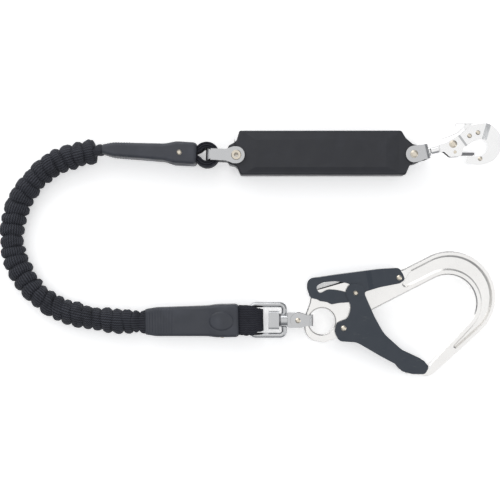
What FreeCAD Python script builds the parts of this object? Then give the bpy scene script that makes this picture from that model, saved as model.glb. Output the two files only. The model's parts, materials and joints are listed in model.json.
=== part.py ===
import FreeCAD, Part
import math
import os

import Sketcher
from FreeCAD import Placement, Rotation, Vector

# Shock absorbing lanyard: an elasticated webbing leg with a large scaffold hook, and an energy
# absorber with a snap hook.  It lies flat.  +X runs from the gathered webbing to the hooks, +Y to
# the absorber's side, +Z up; the origin is under the middle of the rigid parts, on the floor.
# Lengths are millimetres, angles degrees.

doc = FreeCAD.newDocument("Lanyard")
sheet = doc.addObject("Spreadsheet::Sheet", "Sizes")

SIZES = [
    ("webbing_width", 30.0),
    ("webbing_ply", 2.6),
    ("bellows_radius", 14.5),
    ("bellows_bore", 7.4),
    ("core_radius", 7.0),
    ("lower_level", 15.9),       # mid-height of the big hook's chain
    ("upper_level", 20.9),       # mid-height of the absorber's chain
    ("sleeve_length", 117.0),
    ("sleeve_rivet_head", 1.5),
    ("loop_outer", 15.9),
    ("loop_inner", 7.6),
    ("loop_reach", 12.5),        # sleeve end to the middle of the webbing eye
    ("running_gap", 0.05),
    ("side_gap", 0.3),
    ("wire_radius", 3.5),
    ("ring_length", 41.0),
    ("ring_width", 38.6),
    ("ring_corner", 5.5),
    ("boss_radius", 9.0),
    ("boss_length", 8.0),
    ("stem_radius", 4.5),
    ("nut_width", 22.5),
    ("nut_length", 13.0),
    ("shackle_thickness", 3.0),
    ("shackle_width", 13.6),
    ("shackle_inside", 17.2),
    ("shackle_end", 9.1),
    ("hook_thickness", 16.0),
    ("hook_recess", 4.6),
    ("hook_eye", 16.5),
    ("hook_chamfer", 1.4),
    ("sheet_metal", 1.5),
    ("lever_lift", 1.6),         # the lever's hand end stands this much further out
    ("lever_crest", 0.3),        # and swells this much more at its joggle
    ("rivet_head", 3.3),
    ("rivet_head_height", 1.6),
    ("pivot_radius", 2.6),
    ("lock_pin_radius", 2.0),
    ("spring_wire", 0.6),
    ("bracket_thickness", 3.0),
    ("bracket_inside", 32.4),
    ("bracket_width", 14.0),
    ("right_bracket_width", 18.0),
    ("bracket_tube", 5.0),
    ("right_pin", 3.7),
    ("cover_edge", 31.2),        # height of the cover's rim and end zones
    ("cover_height", 35.4),      # height over the two raised panels
    ("cover_round", 2.4),        # rounding of the cover's rim
    ("cover_wall", 1.5),
    ("pack_width", 27.4),
    ("snap_thickness", 10.0),
    ("snap_plate", 2.0),
    ("snap_step", 1.4),
    ("snap_stem_radius", 5.4),
    ("snap_rivet", 2.0),
]
for row_number, (alias, size) in enumerate(SIZES, start=1):
    sheet.set("A%d" % row_number, alias)
    sheet.set("B%d" % row_number, str(size))
    sheet.setAlias("B%d" % row_number, alias)
doc.recompute()


def size(alias):
    """The number in the sheet's cell with this alias."""
    return float(sheet.get(alias))


# Main points of the layout, in the row's X and Y.
RING_BAR = Vector(-62.6, -87.6, 0)
LOWER_LOOP = Vector(-66.0, -87.6, 0)
RING_BOSS = Vector(-22.0, -87.6, 0)
SHACKLE_PIN = Vector(-5.0, -87.6, 0)
HOOK_EYE = Vector(25.0, -88.8, 0)
LEVER_PIVOT = Vector(121.0, -34.5, 0)
GATE_PIVOT = Vector(51.5, -97.0, 0)
LOCK_PIN = Vector(66.6, -53.4, 0)
BOW_CENTRE = Vector(184.4, -59.0, 0)
BOW_INSIDE = Vector(181.9, -66.2, 0)
UPPER_LOOP = Vector(-118.1, 118.2, 0)
LEFT_PIN = Vector(-81.5, 117.1, 0)
RIGHT_PIN = Vector(137.5, 118.1, 0)
SNAP_MAIN_RIVET = Vector(187.6, 131.5, 0)
SNAP_NOSE_RIVET = Vector(221.4, 113.4, 0)
SNAP_SMALL_RIVETS = [Vector(207.6, 141.5, 0), Vector(218.1, 145.5, 0)]
SNAP_GATE_PIVOT = Vector(190.0, 121.6, 0)
LOWER_TURN = 1.0                 # the lower sleeve's turn about Z
UPPER_TURN = -3.0                # the upper sleeve's turn about Z
RIGHT_BRACKET_TURN = 12.5
GATE_OPENS = 50.0
LEVER_RATIO = 0.135

named = {}


def keep(label, thing):
    """Give a finished piece its node name."""
    thing.Label = label
    named[label] = thing
    return thing


def expression(thing, **bindings):
    for name, text in bindings.items():
        thing.setExpression(name, text)
    return thing


def at(point, height=0.0, turn=0.0):
    """A placement at a point of the plan, at a height, turned about Z."""
    return Placement(Vector(point.x, point.y, height), Rotation(Vector(0, 0, 1), turn))


def box(name, length, width, height, centre, turn=0.0):
    """A box bound to the sheet, centred on a point of space."""
    thing = doc.addObject("Part::Box", name)
    expression(thing, Length=length, Width=width, Height=height)
    doc.recompute()
    middle = Vector(thing.Length.Value / 2, thing.Width.Value / 2, thing.Height.Value / 2)
    rotation = Rotation(Vector(0, 0, 1), turn)
    thing.Placement = Placement(centre - rotation.multVec(middle), rotation)
    return thing


def cylinder(name, radius, height, centre, axis=Vector(0, 0, 1)):
    """A cylinder bound to the sheet, centred on a point of space."""
    thing = doc.addObject("Part::Cylinder", name)
    expression(thing, Radius=radius, Height=height)
    doc.recompute()
    rotation = Rotation(Vector(0, 0, 1), axis)
    foot = centre - rotation.multVec(Vector(0, 0, thing.Height.Value / 2))
    thing.Placement = Placement(foot, rotation)
    return thing


def fuse(name, parts):
    thing = doc.addObject("Part::MultiFuse", name)
    thing.Shapes = parts
    return thing


def common(name, parts):
    thing = doc.addObject("Part::MultiCommon", name)
    thing.Shapes = parts
    return thing


def cut(name, base, tool):
    thing = doc.addObject("Part::Cut", name)
    thing.Base = base
    thing.Tool = tool
    return thing


def rounded(corners):
    """Line and arc geometry of a closed outline; a corner is (x, y, radius).  Where two arcs
    don't fit on the line between them, both are made smaller."""
    count = len(corners)
    points = [Vector(x, y, 0) for x, y, radius in corners]
    halves = []
    reaches = []
    for i, (x, y, radius) in enumerate(corners):
        back = points[i - 1] - points[i]
        ahead = points[(i + 1) % count] - points[i]
        halves.append(back.getAngle(ahead) / 2)
        reaches.append(radius / math.tan(halves[i]))
    for i in range(count):
        following = (i + 1) % count
        length = (points[following] - points[i]).Length
        wanted = reaches[i] + reaches[following]
        if wanted > length + 1e-3:
            reaches[i] *= 0.98 * length / wanted
            reaches[following] *= 0.98 * length / wanted
    starts = []
    ends = []
    geometry = []
    for i in range(count):
        back = (points[i - 1] - points[i]).normalize()
        ahead = (points[(i + 1) % count] - points[i]).normalize()
        starts.append(points[i] + back * reaches[i])
        ends.append(points[i] + ahead * reaches[i])
    for i in range(count):
        if reaches[i] > 1e-3:
            back = (points[i - 1] - points[i]).normalize()
            ahead = (points[(i + 1) % count] - points[i]).normalize()
            radius = reaches[i] * math.tan(halves[i])
            inward = (back + ahead).normalize()
            middle = points[i] + inward * (radius / math.sin(halves[i]) - radius)
            geometry.append(Part.Arc(starts[i], middle, ends[i]))
        following = starts[(i + 1) % count]
        if (following - ends[i]).Length > 1e-3:
            geometry.append(Part.LineSegment(ends[i], following))
    return geometry


def bow(centre, radius, into, out, lead, tail):
    """A clockwise arc about a centre between two headings, as four corners: the point `lead`
    before it, two corners that make the arc, and the point `tail` after it.  Lead and tail are
    (length, corner radius)."""
    turn = (into - out) / 2

    def heading(degrees):
        return Vector(math.cos(math.radians(degrees)), math.sin(math.radians(degrees)), 0)

    reach = radius * math.tan(math.radians(turn / 2))
    middle = Vector(centre.x, centre.y, 0)
    first = middle + heading(into + 90) * radius
    crown = middle + heading(into + 90 - turn) * radius
    last = middle + heading(out + 90) * radius
    points = [(first - heading(into) * lead[0], lead[1]),
              (first + heading(into) * reach, radius),
              (crown + heading(into - turn) * reach, radius),
              (last + heading(out) * tail[0], tail[1])]
    return [(point.x, point.y, corner) for point, corner in points]


def circle(centre, radius):
    return [Part.Circle(Vector(centre.x, centre.y, 0), Vector(0, 0, 1), radius)]


def sketch(name, geometry, placement=Placement()):
    """A free sketch of an outline, for an extrusion."""
    thing = doc.addObject("Sketcher::SketchObject", name)
    for piece in geometry:
        thing.addGeometry(piece, False)
    thing.Placement = placement
    return thing


def plate(name, geometry, thickness, height, placement=Placement()):
    """An outline in the plan, extruded both ways from a height."""
    outline = sketch(name + "_outline", geometry)
    outline.Placement = Placement(Vector(0, 0, height), Rotation()).multiply(placement)
    thing = doc.addObject("Part::Extrusion", name)
    thing.Base = outline
    thing.DirMode = "Normal"
    thing.Symmetric = True
    thing.Solid = True
    thing.setExpression("LengthFwd", thickness)
    return thing


def upright(name, geometry, width, placement):
    """An outline in the XZ plane of a placement, extruded both ways along its Y."""
    stand = Placement(Vector(), Rotation(Vector(1, 0, 0), 90))
    outline = sketch(name + "_outline", geometry, placement.multiply(stand))
    thing = doc.addObject("Part::Extrusion", name)
    thing.Base = outline
    thing.DirMode = "Normal"
    thing.Symmetric = True
    thing.Solid = True
    thing.setExpression("LengthFwd", width)
    return thing


def turned(label, profile, placement):
    """A PartDesign revolution about the body's Z; the profile is (radius, height) corners whose
    entries are expressions of the sheet."""
    body = doc.addObject("PartDesign::Body", label + "_body")
    drawing = body.newObject("Sketcher::SketchObject", label + "_profile")
    plane = [f for f in body.Origin.OriginFeatures if f.Role == "XZ_Plane"][0]
    drawing.AttachmentSupport = [(plane, "")]
    drawing.MapMode = "FlatFace"
    scratch = [(evaluate(r), evaluate(z)) for r, z in profile]
    count = len(scratch)
    for i in range(count):
        start = Vector(*scratch[i], 0)
        end = Vector(*scratch[(i + 1) % count], 0)
        drawing.addGeometry(Part.LineSegment(start, end), False)
    for i in range(count):
        drawing.addConstraint(Sketcher.Constraint("Coincident", i, 2, (i + 1) % count, 1))
    for i, (radius, height) in enumerate(profile):
        for kind, text, number in (("DistanceX", radius, scratch[i][0]),
                                   ("DistanceY", height, scratch[i][1])):
            if number == 0:
                axis = -2 if kind == "DistanceX" else -1
                drawing.addConstraint(Sketcher.Constraint("PointOnObject", i, 1, axis))
            else:
                driven = drawing.addConstraint(
                    Sketcher.Constraint(kind, -1, 1, i, 1, number))
                drawing.setExpression("Constraints[%d]" % driven, text)
    spin = body.newObject("PartDesign::Revolution", label + "_turned")
    spin.Profile = drawing
    spin.ReferenceAxis = (drawing, ["V_Axis"])
    spin.Angle = 360
    body.Placement = placement
    return keep(label, body)


def evaluate(text):
    """The value of an expression of the sheet."""
    return float(sheet.evalExpression(text.replace("Sizes.", "")))


def rivet(label, point, level, shaft, half_length, head="Sizes.rivet_head"):
    """A through rivet with a low head at each end."""
    head_top = half_length + " + Sizes.rivet_head_height"
    rim = half_length + " + 0.5 * Sizes.rivet_head_height"
    inner_head = "0.55 * (%s)" % head
    profile = [("0", "-(%s)" % head_top), (inner_head, "-(%s)" % head_top),
               (head, "-(%s)" % rim), (head, "-(%s)" % half_length),
               (shaft, "-(%s)" % half_length), (shaft, half_length),
               (head, half_length), (head, rim), (inner_head, head_top), ("0", head_top)]
    return turned(label, profile, at(point, level))


LOWER = size("lower_level")
UPPER = size("upper_level")


# ---- Gathered webbing leg ----------------------------------------------------------------------

# Route of the leg's centreline from the lower sleeve's mouth round to the upper sleeve's mouth.
ROUTE = [
    (-195.8, -89.7, 15.9),
    (-228.0, -89.6, 15.2),
    (-267.8, -84.8, 14.5),
    (-308.2, -73.8, 14.5),
    (-341.4, -46.9, 14.5),
    (-361.1, -9.2, 14.5),
    (-363.4, 33.3, 14.5),
    (-348.6, 72.8, 15.2),
    (-320.2, 102.6, 16.8),
    (-284.4, 119.8, 19.0),
    (-247.5, 125.0, 20.9),
]


def route_path(points):
    """Straight runs joined by tangent arcs, each as large as its two runs allow."""
    knots = [Vector(*p) for p in points]
    edges = []
    start = knots[0]
    radii = []
    for back, here, ahead in zip(knots, knots[1:], knots[2:]):
        into = (here - back).normalize()
        onward = (ahead - here).normalize()
        turn = into.getAngle(onward)
        reach = 0.45 * min((here - back).Length, (ahead - here).Length)
        radius = reach / math.tan(turn / 2)
        radii.append(radius)
        first = here - into * reach
        last = here + onward * reach
        centre_side = (onward - into).normalize()
        middle = here + centre_side * (radius / math.cos(turn / 2) - radius)
        edges.append(Part.LineSegment(start, first).toShape())
        edges.append(Part.Arc(first, middle, last).toShape())
        start = last
    edges.append(Part.LineSegment(start, knots[-1]).toShape())
    print("route radii, mm:", [round(r) for r in radii])
    return Part.Wire(edges)


def route_tube(path, radius):
    """A round tube along the path."""
    start = path.Edges[0]
    first = start.Vertexes[0].Point
    ring = Part.Circle(first, start.tangentAt(start.FirstParameter), radius)
    tube = path.makePipeShell([Part.Wire(ring.toShape())], True, True)
    section = math.pi * radius ** 2 * path.Length
    print("tube volume against section times length: %.5f" % (tube.Volume / section))
    return tube


path = route_path(ROUTE)
print("leg length, mm: %.1f" % path.Length)
bellows = doc.addObject("Part::Feature", "bellows")
bore = route_tube(path, size("bellows_bore"))
bellows.Shape = route_tube(path, size("bellows_radius")).cut(bore)
keep("bellows_webbing", bellows)
core = doc.addObject("Part::Feature", "core")
core.Shape = route_tube(path, size("core_radius"))
keep("elastic_core", core)


def sleeve_frame(loop_centre, level, turn, on_edge):
    """The sleeve's own frame: origin at its mouth, X to the loop, Z through its broad face."""
    lie = Rotation(Vector(0, 0, 1), turn)
    roll = Rotation(Vector(1, 0, 0), -90 if on_edge else 0)
    back = lie.multVec(Vector(-size("sleeve_length") - size("loop_reach"), 0, 0))
    mouth = Vector(loop_centre.x, loop_centre.y, level) + back
    return Placement(mouth, lie.multiply(roll))


LOWER_SLEEVE = sleeve_frame(LOWER_LOOP, LOWER, LOWER_TURN, False)
UPPER_SLEEVE = sleeve_frame(UPPER_LOOP, UPPER, UPPER_TURN, True)

# Stations along a sleeve: distance from the mouth, half width, half thickness.
SLEEVE_STATIONS = [
    (0.0, 15.9, 5.6),
    (14.0, 18.0, 8.6),
    (78.0, 19.0, 10.6),
    (90.0, 20.5, 13.6),
    (110.0, 20.5, 13.75),
]


def section(distance, half_width, half_thickness, radius):
    """A rounded rectangle across the sleeve."""
    corners = [(half_width, half_thickness, radius), (-half_width, half_thickness, radius),
               (-half_width, -half_thickness, radius), (half_width, -half_thickness, radius)]
    wire = Part.Wire([piece.toShape() for piece in rounded(corners)])
    stand = Placement(Vector(distance, 0, 0), Rotation(Vector(1, 1, 1), 120))
    wire.Placement = stand
    return wire


def sleeve_shape():
    """The moulded cover: ruled spans between its stations, a rounded end and a slot inside."""
    spans = []
    for near, far in zip(SLEEVE_STATIONS, SLEEVE_STATIONS[1:]):
        spans.append(Part.makeLoft([section(*near, 4.5), section(*far, 4.5)], True, True))
    last = SLEEVE_STATIONS[-1]
    end = section(size("sleeve_length"), last[1] - 5.0, last[2] - 3.0, 4.5)
    spans.append(Part.makeLoft([section(*last, 4.5), end], True, True))
    solid = spans[0].multiFuse(spans[1:]).removeSplitter()
    slot_width = size("webbing_width") + 0.6
    slot_height = 2 * size("webbing_ply") + 0.6
    slot = Part.makeBox(size("sleeve_length"), slot_width, slot_height,
                        Vector(0, -slot_width / 2, -slot_height / 2))
    mouth_width = 2 * (size("loop_outer") - 5.0)
    throat = Part.makeBox(22.0, slot_width, mouth_width,
                          Vector(size("sleeve_length") - 22.0, -slot_width / 2, -mouth_width / 2))
    return solid.cut(slot.fuse(throat))


SLEEVE_RIVET_AT = 96.0


def rivet_hole(half_width):
    """Blind hole for the sleeve's rivet, in its narrow side."""
    return Part.makeCylinder(size("pivot_radius") + size("running_gap"), 4.6,
                             Vector(SLEEVE_RIVET_AT, -half_width, 0), Vector(0, 1, 0))


def splice_shape():
    """The sewn plies inside the cover: two layers and a thicker, bar-tacked end."""
    width = size("webbing_width")
    ply = size("webbing_ply")
    length = size("sleeve_length") - 1.0
    flat = Part.makeBox(length, width, 2 * ply, Vector(1.0, -width / 2, -ply))
    tacked = Part.makeBox(14.0, width - 2, 4 * ply,
                          Vector(size("sleeve_length") - 20.0, -width / 2 + 1, -2 * ply))
    return flat.fuse(tacked).removeSplitter()


def strap_loop_shape():
    """The webbing eye: a teardrop of plies from the cover's end round the fitting."""
    width = size("webbing_width")
    outer = size("loop_outer")
    inner = size("loop_inner")
    middle = Vector(size("sleeve_length") + size("loop_reach"), 0, 0)
    low = middle + Vector(0, -width / 2, 0)
    eye = Part.makeCylinder(outer, width, low, Vector(0, 1, 0))
    neck_half = 6.4
    neck = Part.makeBox(size("loop_reach") + 0.5, width, 2 * neck_half,
                        Vector(size("sleeve_length") - 0.5, -width / 2, -neck_half))
    hole = Part.makeCylinder(inner, width, low, Vector(0, 1, 0))
    return eye.fuse(neck).removeSplitter().cut(hole)


def placed(label, shape, placement):
    thing = doc.addObject("Part::Feature", label + "_solid")
    thing.Shape = shape
    thing.Placement = placement
    return keep(label, thing)


for side, frame in (("upper", UPPER_SLEEVE), ("lower", LOWER_SLEEVE)):
    half_width = SLEEVE_STATIONS[-2][1]
    placed(side + "_sleeve", sleeve_shape().cut(rivet_hole(half_width)), frame)
    placed(side + "_splice", splice_shape(), frame)
    loop = strap_loop_shape()
    gap_to_splice = Part.makeBox(5.0, 60.0, 60.0, Vector(size("sleeve_length") - 5.0, -30, -30))
    placed(side + "_strap_loop", loop.cut(gap_to_splice), frame)
    head_low = Vector(SLEEVE_RIVET_AT, -half_width, 0)
    shaft = Part.makeCylinder(size("pivot_radius"), 4.0, head_low, Vector(0, 1, 0))
    head = Part.makeCone(size("rivet_head"), 0.6 * size("rivet_head"),
                         size("sleeve_rivet_head"), head_low, Vector(0, -1, 0))
    placed(side + "_sleeve_rivet", shaft.fuse(head), frame)


# ---- Swivel ring, stem and shackle -------------------------------------------------------------

def frame_wire(centre, length, width, corner):
    """The centreline of a rounded rectangle in the plan."""
    x, y = length / 2, width / 2
    corners = [(centre.x + x, centre.y + y, corner), (centre.x - x, centre.y + y, corner),
               (centre.x - x, centre.y - y, corner), (centre.x + x, centre.y - y, corner)]
    return Part.Wire([piece.toShape() for piece in rounded(corners)])


ring_centre = Vector(RING_BAR.x + size("ring_length") / 2, RING_BAR.y, 0)
ring_line = frame_wire(ring_centre, size("ring_length"), size("ring_width"), size("ring_corner"))
ring_start = ring_line.Edges[0]
ring_section = Part.Circle(ring_start.Vertexes[0].Point,
                           ring_start.tangentAt(ring_start.FirstParameter), size("wire_radius"))
ring_wire = doc.addObject("Part::Feature", "ring_wire")
ring_wire.Shape = ring_line.makePipeShell([Part.Wire(ring_section.toShape())], True, True)
ring_wire.Placement = at(Vector(), LOWER)
X_AXIS = Vector(1, 0, 0)
boss = cylinder("ring_boss", "Sizes.boss_radius", "Sizes.boss_length",
                Vector(RING_BOSS.x, RING_BOSS.y, LOWER), X_AXIS)
boss_hole = cylinder("ring_boss_hole", "Sizes.stem_radius + Sizes.running_gap", "60 mm",
                     Vector(RING_BOSS.x, RING_BOSS.y, LOWER), X_AXIS)
keep("swivel_ring", cut("ring_cut", fuse("ring_fuse", [ring_wire, boss]), boss_hole))

boss_left = RING_BOSS.x - size("boss_length") / 2
boss_right = RING_BOSS.x + size("boss_length") / 2
WASHER = 2.0
NUT = size("nut_length")
FACE_GAP = 0.3


def on_stem(distance):
    return Vector(distance, RING_BOSS.y, LOWER)


washer = cylinder("washer", "8.2 mm", "2 mm", on_stem(boss_left - FACE_GAP - WASHER / 2), X_AXIS)
washer_hole = cylinder("washer_hole", "Sizes.stem_radius + Sizes.running_gap", "30 mm",
                       on_stem(boss_left), X_AXIS)
keep("swivel_washer", cut("washer_cut", washer, washer_hole))

nut_body = doc.addObject("PartDesign::Body", "nut_body")
nut_sketch = nut_body.newObject("Sketcher::SketchObject", "nut_sketch")
nut_plane = [f for f in nut_body.Origin.OriginFeatures if f.Role == "YZ_Plane"][0]
nut_sketch.AttachmentSupport = [(nut_plane, "")]
nut_sketch.MapMode = "FlatFace"
nut_reach = size("nut_width") / 2
nut_rise = 8.2
for piece in rounded([(nut_reach, nut_rise, 3), (-nut_reach, nut_rise, 3),
                      (-nut_reach, -nut_rise, 3), (nut_reach, -nut_rise, 3)]):
    nut_sketch.addGeometry(piece, False)
nut_pad = nut_body.newObject("PartDesign::Pad", "nut_pad")
nut_pad.Profile = nut_sketch
nut_pad.setExpression("Length", "Sizes.nut_length")
nut_bore_sketch = nut_body.newObject("Sketcher::SketchObject", "nut_bore_sketch")
nut_bore_sketch.AttachmentSupport = [(nut_plane, "")]
nut_bore_sketch.MapMode = "FlatFace"
nut_bore_sketch.addGeometry(Part.Circle(Vector(), Vector(0, 0, 1), size("stem_radius")), False)
bore_radius = nut_bore_sketch.addConstraint(Sketcher.Constraint("Radius", 0, size("stem_radius")))
nut_bore_sketch.setExpression("Constraints[%d]" % bore_radius,
                              "Sizes.stem_radius + Sizes.running_gap")
nut_bore = nut_body.newObject("PartDesign::Pocket", "nut_bore")
nut_bore.Profile = nut_bore_sketch
nut_bore.Type = "ThroughAll"
nut_bore.Midplane = True
nut_body.Placement = Placement(on_stem(boss_left - FACE_GAP - WASHER - 0.1 - NUT), Rotation())
keep("swivel_nut", nut_body)

nut_end = boss_left - FACE_GAP - WASHER - 0.1 - NUT
tongue_start = boss_right + FACE_GAP
shaft = cylinder("stem_shaft", "Sizes.stem_radius", "%.3f mm" % (tongue_start - nut_end + 1.0),
                 on_stem((tongue_start + 1.0 + nut_end) / 2), X_AXIS)
tongue_outline = rounded([
    (tongue_start, RING_BOSS.y + 9.4, 2.0),
    (tongue_start, RING_BOSS.y - 9.4, 2.0),
    (SHACKLE_PIN.x - 2.0, RING_BOSS.y - 9.4, 2.0),
    (SHACKLE_PIN.x + 6.8, RING_BOSS.y - 5.0, 4.4),
    (SHACKLE_PIN.x + 6.8, RING_BOSS.y + 5.0, 4.4),
    (SHACKLE_PIN.x - 2.0, RING_BOSS.y + 9.4, 2.0)])
tongue = plate("stem_tongue", tongue_outline, "Sizes.shackle_inside - 2 * Sizes.side_gap", LOWER)
pin_hole = cylinder("stem_pin_hole", "Sizes.pivot_radius + Sizes.running_gap", "60 mm",
                    Vector(SHACKLE_PIN.x, SHACKLE_PIN.y, LOWER))
keep("swivel_stem", cut("stem_cut", fuse("stem_fuse", [shaft, tongue]), pin_hole))


def strap(name, near, far, inside, thickness, width, level, corner, end_radius, turn=0.0):
    """A U strap: two legs from a pin at `near`, joined by an upright bight outside `far`."""
    reach = (far - near).Length
    half = evaluate(inside) / 2
    gauge = evaluate(thickness)
    outer = half + gauge
    end = -end_radius - 1.0
    profile = rounded([
        (end, half, 0), (end, outer, 0), (reach + gauge, outer, corner + gauge),
        (reach + gauge, -outer, corner + gauge), (end, -outer, 0), (end, -half, 0),
        (reach, -half, corner), (reach, half, corner)])
    bent = upright(name + "_bent", profile, "%g mm" % (2 * end_radius + 1), at(near, level, turn))
    wide = evaluate(width) / 2
    plan_outline = rounded([
        (-end_radius, end_radius, end_radius * 0.999), (-end_radius, -end_radius, end_radius * 0.999),
        (end_radius * 0.35, -end_radius, 3.0), (end_radius * 1.25, -wide, 3.0),
        (reach + gauge + 1.0, -wide, 0), (reach + gauge + 1.0, wide, 0),
        (end_radius * 1.25, wide, 3.0), (end_radius * 0.35, end_radius, 3.0)])
    trim = plate(name + "_trim", plan_outline, "120 mm", level, at(near, 0.0, turn))
    return common(name + "_strap", [bent, trim])


BIGHT_INSIDE = Vector(11.4, SHACKLE_PIN.y, 0)
shackle = strap("shackle", SHACKLE_PIN, BIGHT_INSIDE, "Sizes.shackle_inside",
                "Sizes.shackle_thickness", "Sizes.shackle_width", LOWER, 3.0,
                size("shackle_end"))
shackle_hole = cylinder("shackle_hole", "Sizes.pivot_radius + Sizes.running_gap", "60 mm",
                        Vector(SHACKLE_PIN.x, SHACKLE_PIN.y, LOWER))
keep("shackle_strap", cut("shackle_cut", shackle, shackle_hole))
rivet("shackle_rivet", SHACKLE_PIN, LOWER, "Sizes.pivot_radius",
      "0.5 * Sizes.shackle_inside + Sizes.shackle_thickness + Sizes.running_gap")


# ---- Large scaffold hook -----------------------------------------------------------------------

BOW_OUTER = 57.5
BOW_INNER = 35.4
SPINE_HEADING = 27.0
OUTER_ARM_HEADING = -138.0
INNER_ARM_HEADING = -133.0
OUTER_FLANGE = 7.2
INNER_FLANGE = 7.8
WALL_SLOPE = 26.0
WALL_REACH = 3.0

hook_outline = [
    (9.8, -66.0, 0.0), (12.5, -50.6, 5.0), (47.5, -40.4, 30.0), (74.0, -34.4, 30.0),
    (99.0, -29.6, 12.0)]
hook_outline += bow(BOW_CENTRE, BOW_OUTER, SPINE_HEADING, OUTER_ARM_HEADING, (37.5, 16.0),
                    (84.0, 12.0))
hook_outline += [(128.0, -154.4, 5.0), (128.0, -143.4, 4.0)]
hook_outline += bow(BOW_INSIDE, BOW_INNER, SPINE_HEADING, INNER_ARM_HEADING, (89.0, 0.0),
                    (80.0, 10.0))[::-1]
hook_outline += [
    (66.5, -84.6, 8.0), (62.5, -106.2, 9.5), (46.0, -109.4, 6.0),
    (28.0, -116.0, 17.0), (1.0, -111.0, 18.0), (5.4, -78.0, 10.0)]

hook = doc.addObject("PartDesign::Body", "hook")
hook_plane = [f for f in hook.Origin.OriginFeatures if f.Role == "XY_Plane"][0]


def body_sketch(body, plane, name, geometry, offset=0.0):
    """A sketch on a body's own plane, lifted by an offset."""
    drawing = body.newObject("Sketcher::SketchObject", name)
    drawing.AttachmentSupport = [(plane, "")]
    drawing.MapMode = "FlatFace"
    drawing.AttachmentOffset = Placement(Vector(0, 0, offset), Rotation())
    for piece in geometry:
        drawing.addGeometry(piece, False)
    return drawing


hook_pad = hook.newObject("PartDesign::Pad", "hook_pad")
hook_pad.Profile = body_sketch(hook, hook_plane, "hook_outline", rounded(hook_outline))
hook_pad.Midplane = True
hook_pad.setExpression("Length", "Sizes.hook_thickness")

# The bow's web is sunk between an outer and an inner flange, on both faces.  Each recess is cut
# from its floor outwards, so that its walls open towards the face.
web_corners = bow(BOW_CENTRE, BOW_OUTER - OUTER_FLANGE, SPINE_HEADING, OUTER_ARM_HEADING,
                  (28.0, 2.5), (37.0, 1.2))
web_corners += bow(BOW_INSIDE, BOW_INNER + INNER_FLANGE, SPINE_HEADING, INNER_ARM_HEADING,
                   (46.0, 2.5), (33.0, 1.2))[::-1]
web_outline = rounded(web_corners)
half_thickness = size("hook_thickness") / 2
floor = half_thickness - size("hook_recess")
for name, level, reverse in (("front", floor, True), ("rear", -floor, False)):
    recess = hook.newObject("PartDesign::Pocket", "web_" + name)
    recess.Profile = body_sketch(hook, hook_plane, "web_outline_" + name, web_outline, level)
    recess.Reversed = reverse
    recess.setExpression("Length", "Sizes.hook_recess")
    recess.TaperAngle = WALL_SLOPE

holes = (circle(HOOK_EYE, size("hook_eye"))
         + circle(GATE_PIVOT, size("pivot_radius") + size("running_gap"))
         + circle(LEVER_PIVOT, size("pivot_radius") + size("running_gap")))
drilled = hook.newObject("PartDesign::Pocket", "hook_holes")
drilled.Profile = body_sketch(hook, hook_plane, "hook_hole_circles", holes)
drilled.Type = "ThroughAll"
drilled.Midplane = True
seat = hook.newObject("PartDesign::Pocket", "lever_spring_seat")
seat.Profile = body_sketch(hook, hook_plane, "seat_circle", circle(LEVER_PIVOT, 6.4),
                           -half_thickness)
seat.Reversed = True
seat.Length = 3.2
doc.recompute()


def outline_edges(shape, level):
    """Names of the edges of the outer and eye outlines on the faces at a level."""
    names = []
    for number, edge in enumerate(shape.Edges, start=1):
        box_of_edge = edge.BoundBox
        flat = box_of_edge.ZLength < 1e-4 and abs(abs(box_of_edge.ZMin) - level) < 1e-4
        centre = getattr(edge.Curve, "Center", None)
        small = len(edge.Vertexes) == 1 and not centre.isEqual(
            Vector(HOOK_EYE.x, HOOK_EYE.y, centre.z), 0.1)
        web = any(web_line.distToShape(Part.Vertex(v.Point.x, v.Point.y, 0))[0] < WALL_REACH
                  for v in edge.Vertexes)
        if flat and not small and not web:
            names.append("Edge%d" % number)
    return names


web_line = Part.Wire([piece.toShape() for piece in web_outline])
softened = hook.newObject("PartDesign::Chamfer", "hook_edges")
softened.Base = (seat, outline_edges(seat.Shape, half_thickness))
softened.setExpression("Size", "Sizes.hook_chamfer")
hook.Placement = at(Vector(), LOWER)
keep("hook_body", hook)

PLATE_OUT = "0.5 * Sizes.hook_thickness + Sizes.side_gap"
lever_outline = [
    (7.6, -36.0, 9.0), (43.7, -30.6, 40.0), (97.5, -23.6, 60.0), (120.5, -22.3, 4.0),
    (125.2, -29.0, 8.0), (128.4, -36.6, 4.0), (122.0, -41.4, 6.0), (97.5, -46.2, 20.0),
    (79.6, -51.4, 4.0), (72.0, -60.6, 10.0), (58.0, -65.0, 8.0), (46.0, -65.8, 10.0),
    (36.5, -67.6, 4.0), (31.5, -64.8, 2.0), (22.5, -63.4, 2.0), (19.0, -61.4, 2.0),
    (11.0, -59.6, 2.0), (7.4, -48.5, 6.0)]


def turn_about(point, centre, degrees):
    """A point of the plan turned about a centre."""
    arm = point - centre
    return centre + Rotation(Vector(0, 0, 1), degrees).multVec(arm)


def slot_line():
    """The lock pin's path across the lever as gate and lever turn together."""
    steps = 8
    points = []
    for i in range(steps + 1):
        gate_turn = GATE_OPENS * i / steps
        pin = turn_about(LOCK_PIN, GATE_PIVOT, gate_turn)
        points.append(turn_about(pin, LEVER_PIVOT, -LEVER_RATIO * gate_turn))
    return points


SLOT_HALF = 3.3
slot_points = slot_line()
slot_discs = [Part.makeCylinder(SLOT_HALF, 80, Vector(p.x, p.y, -40)) for p in slot_points]
slot_runs = []
for start, end in zip(slot_points, slot_points[1:]):
    along = end - start
    bar = Part.makeBox(along.Length, 2 * SLOT_HALF, 80, Vector(0, -SLOT_HALF, -40))
    bar.Placement = Placement(start, Rotation(Vector(1, 0, 0), along))
    slot_runs.append(bar)
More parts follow.
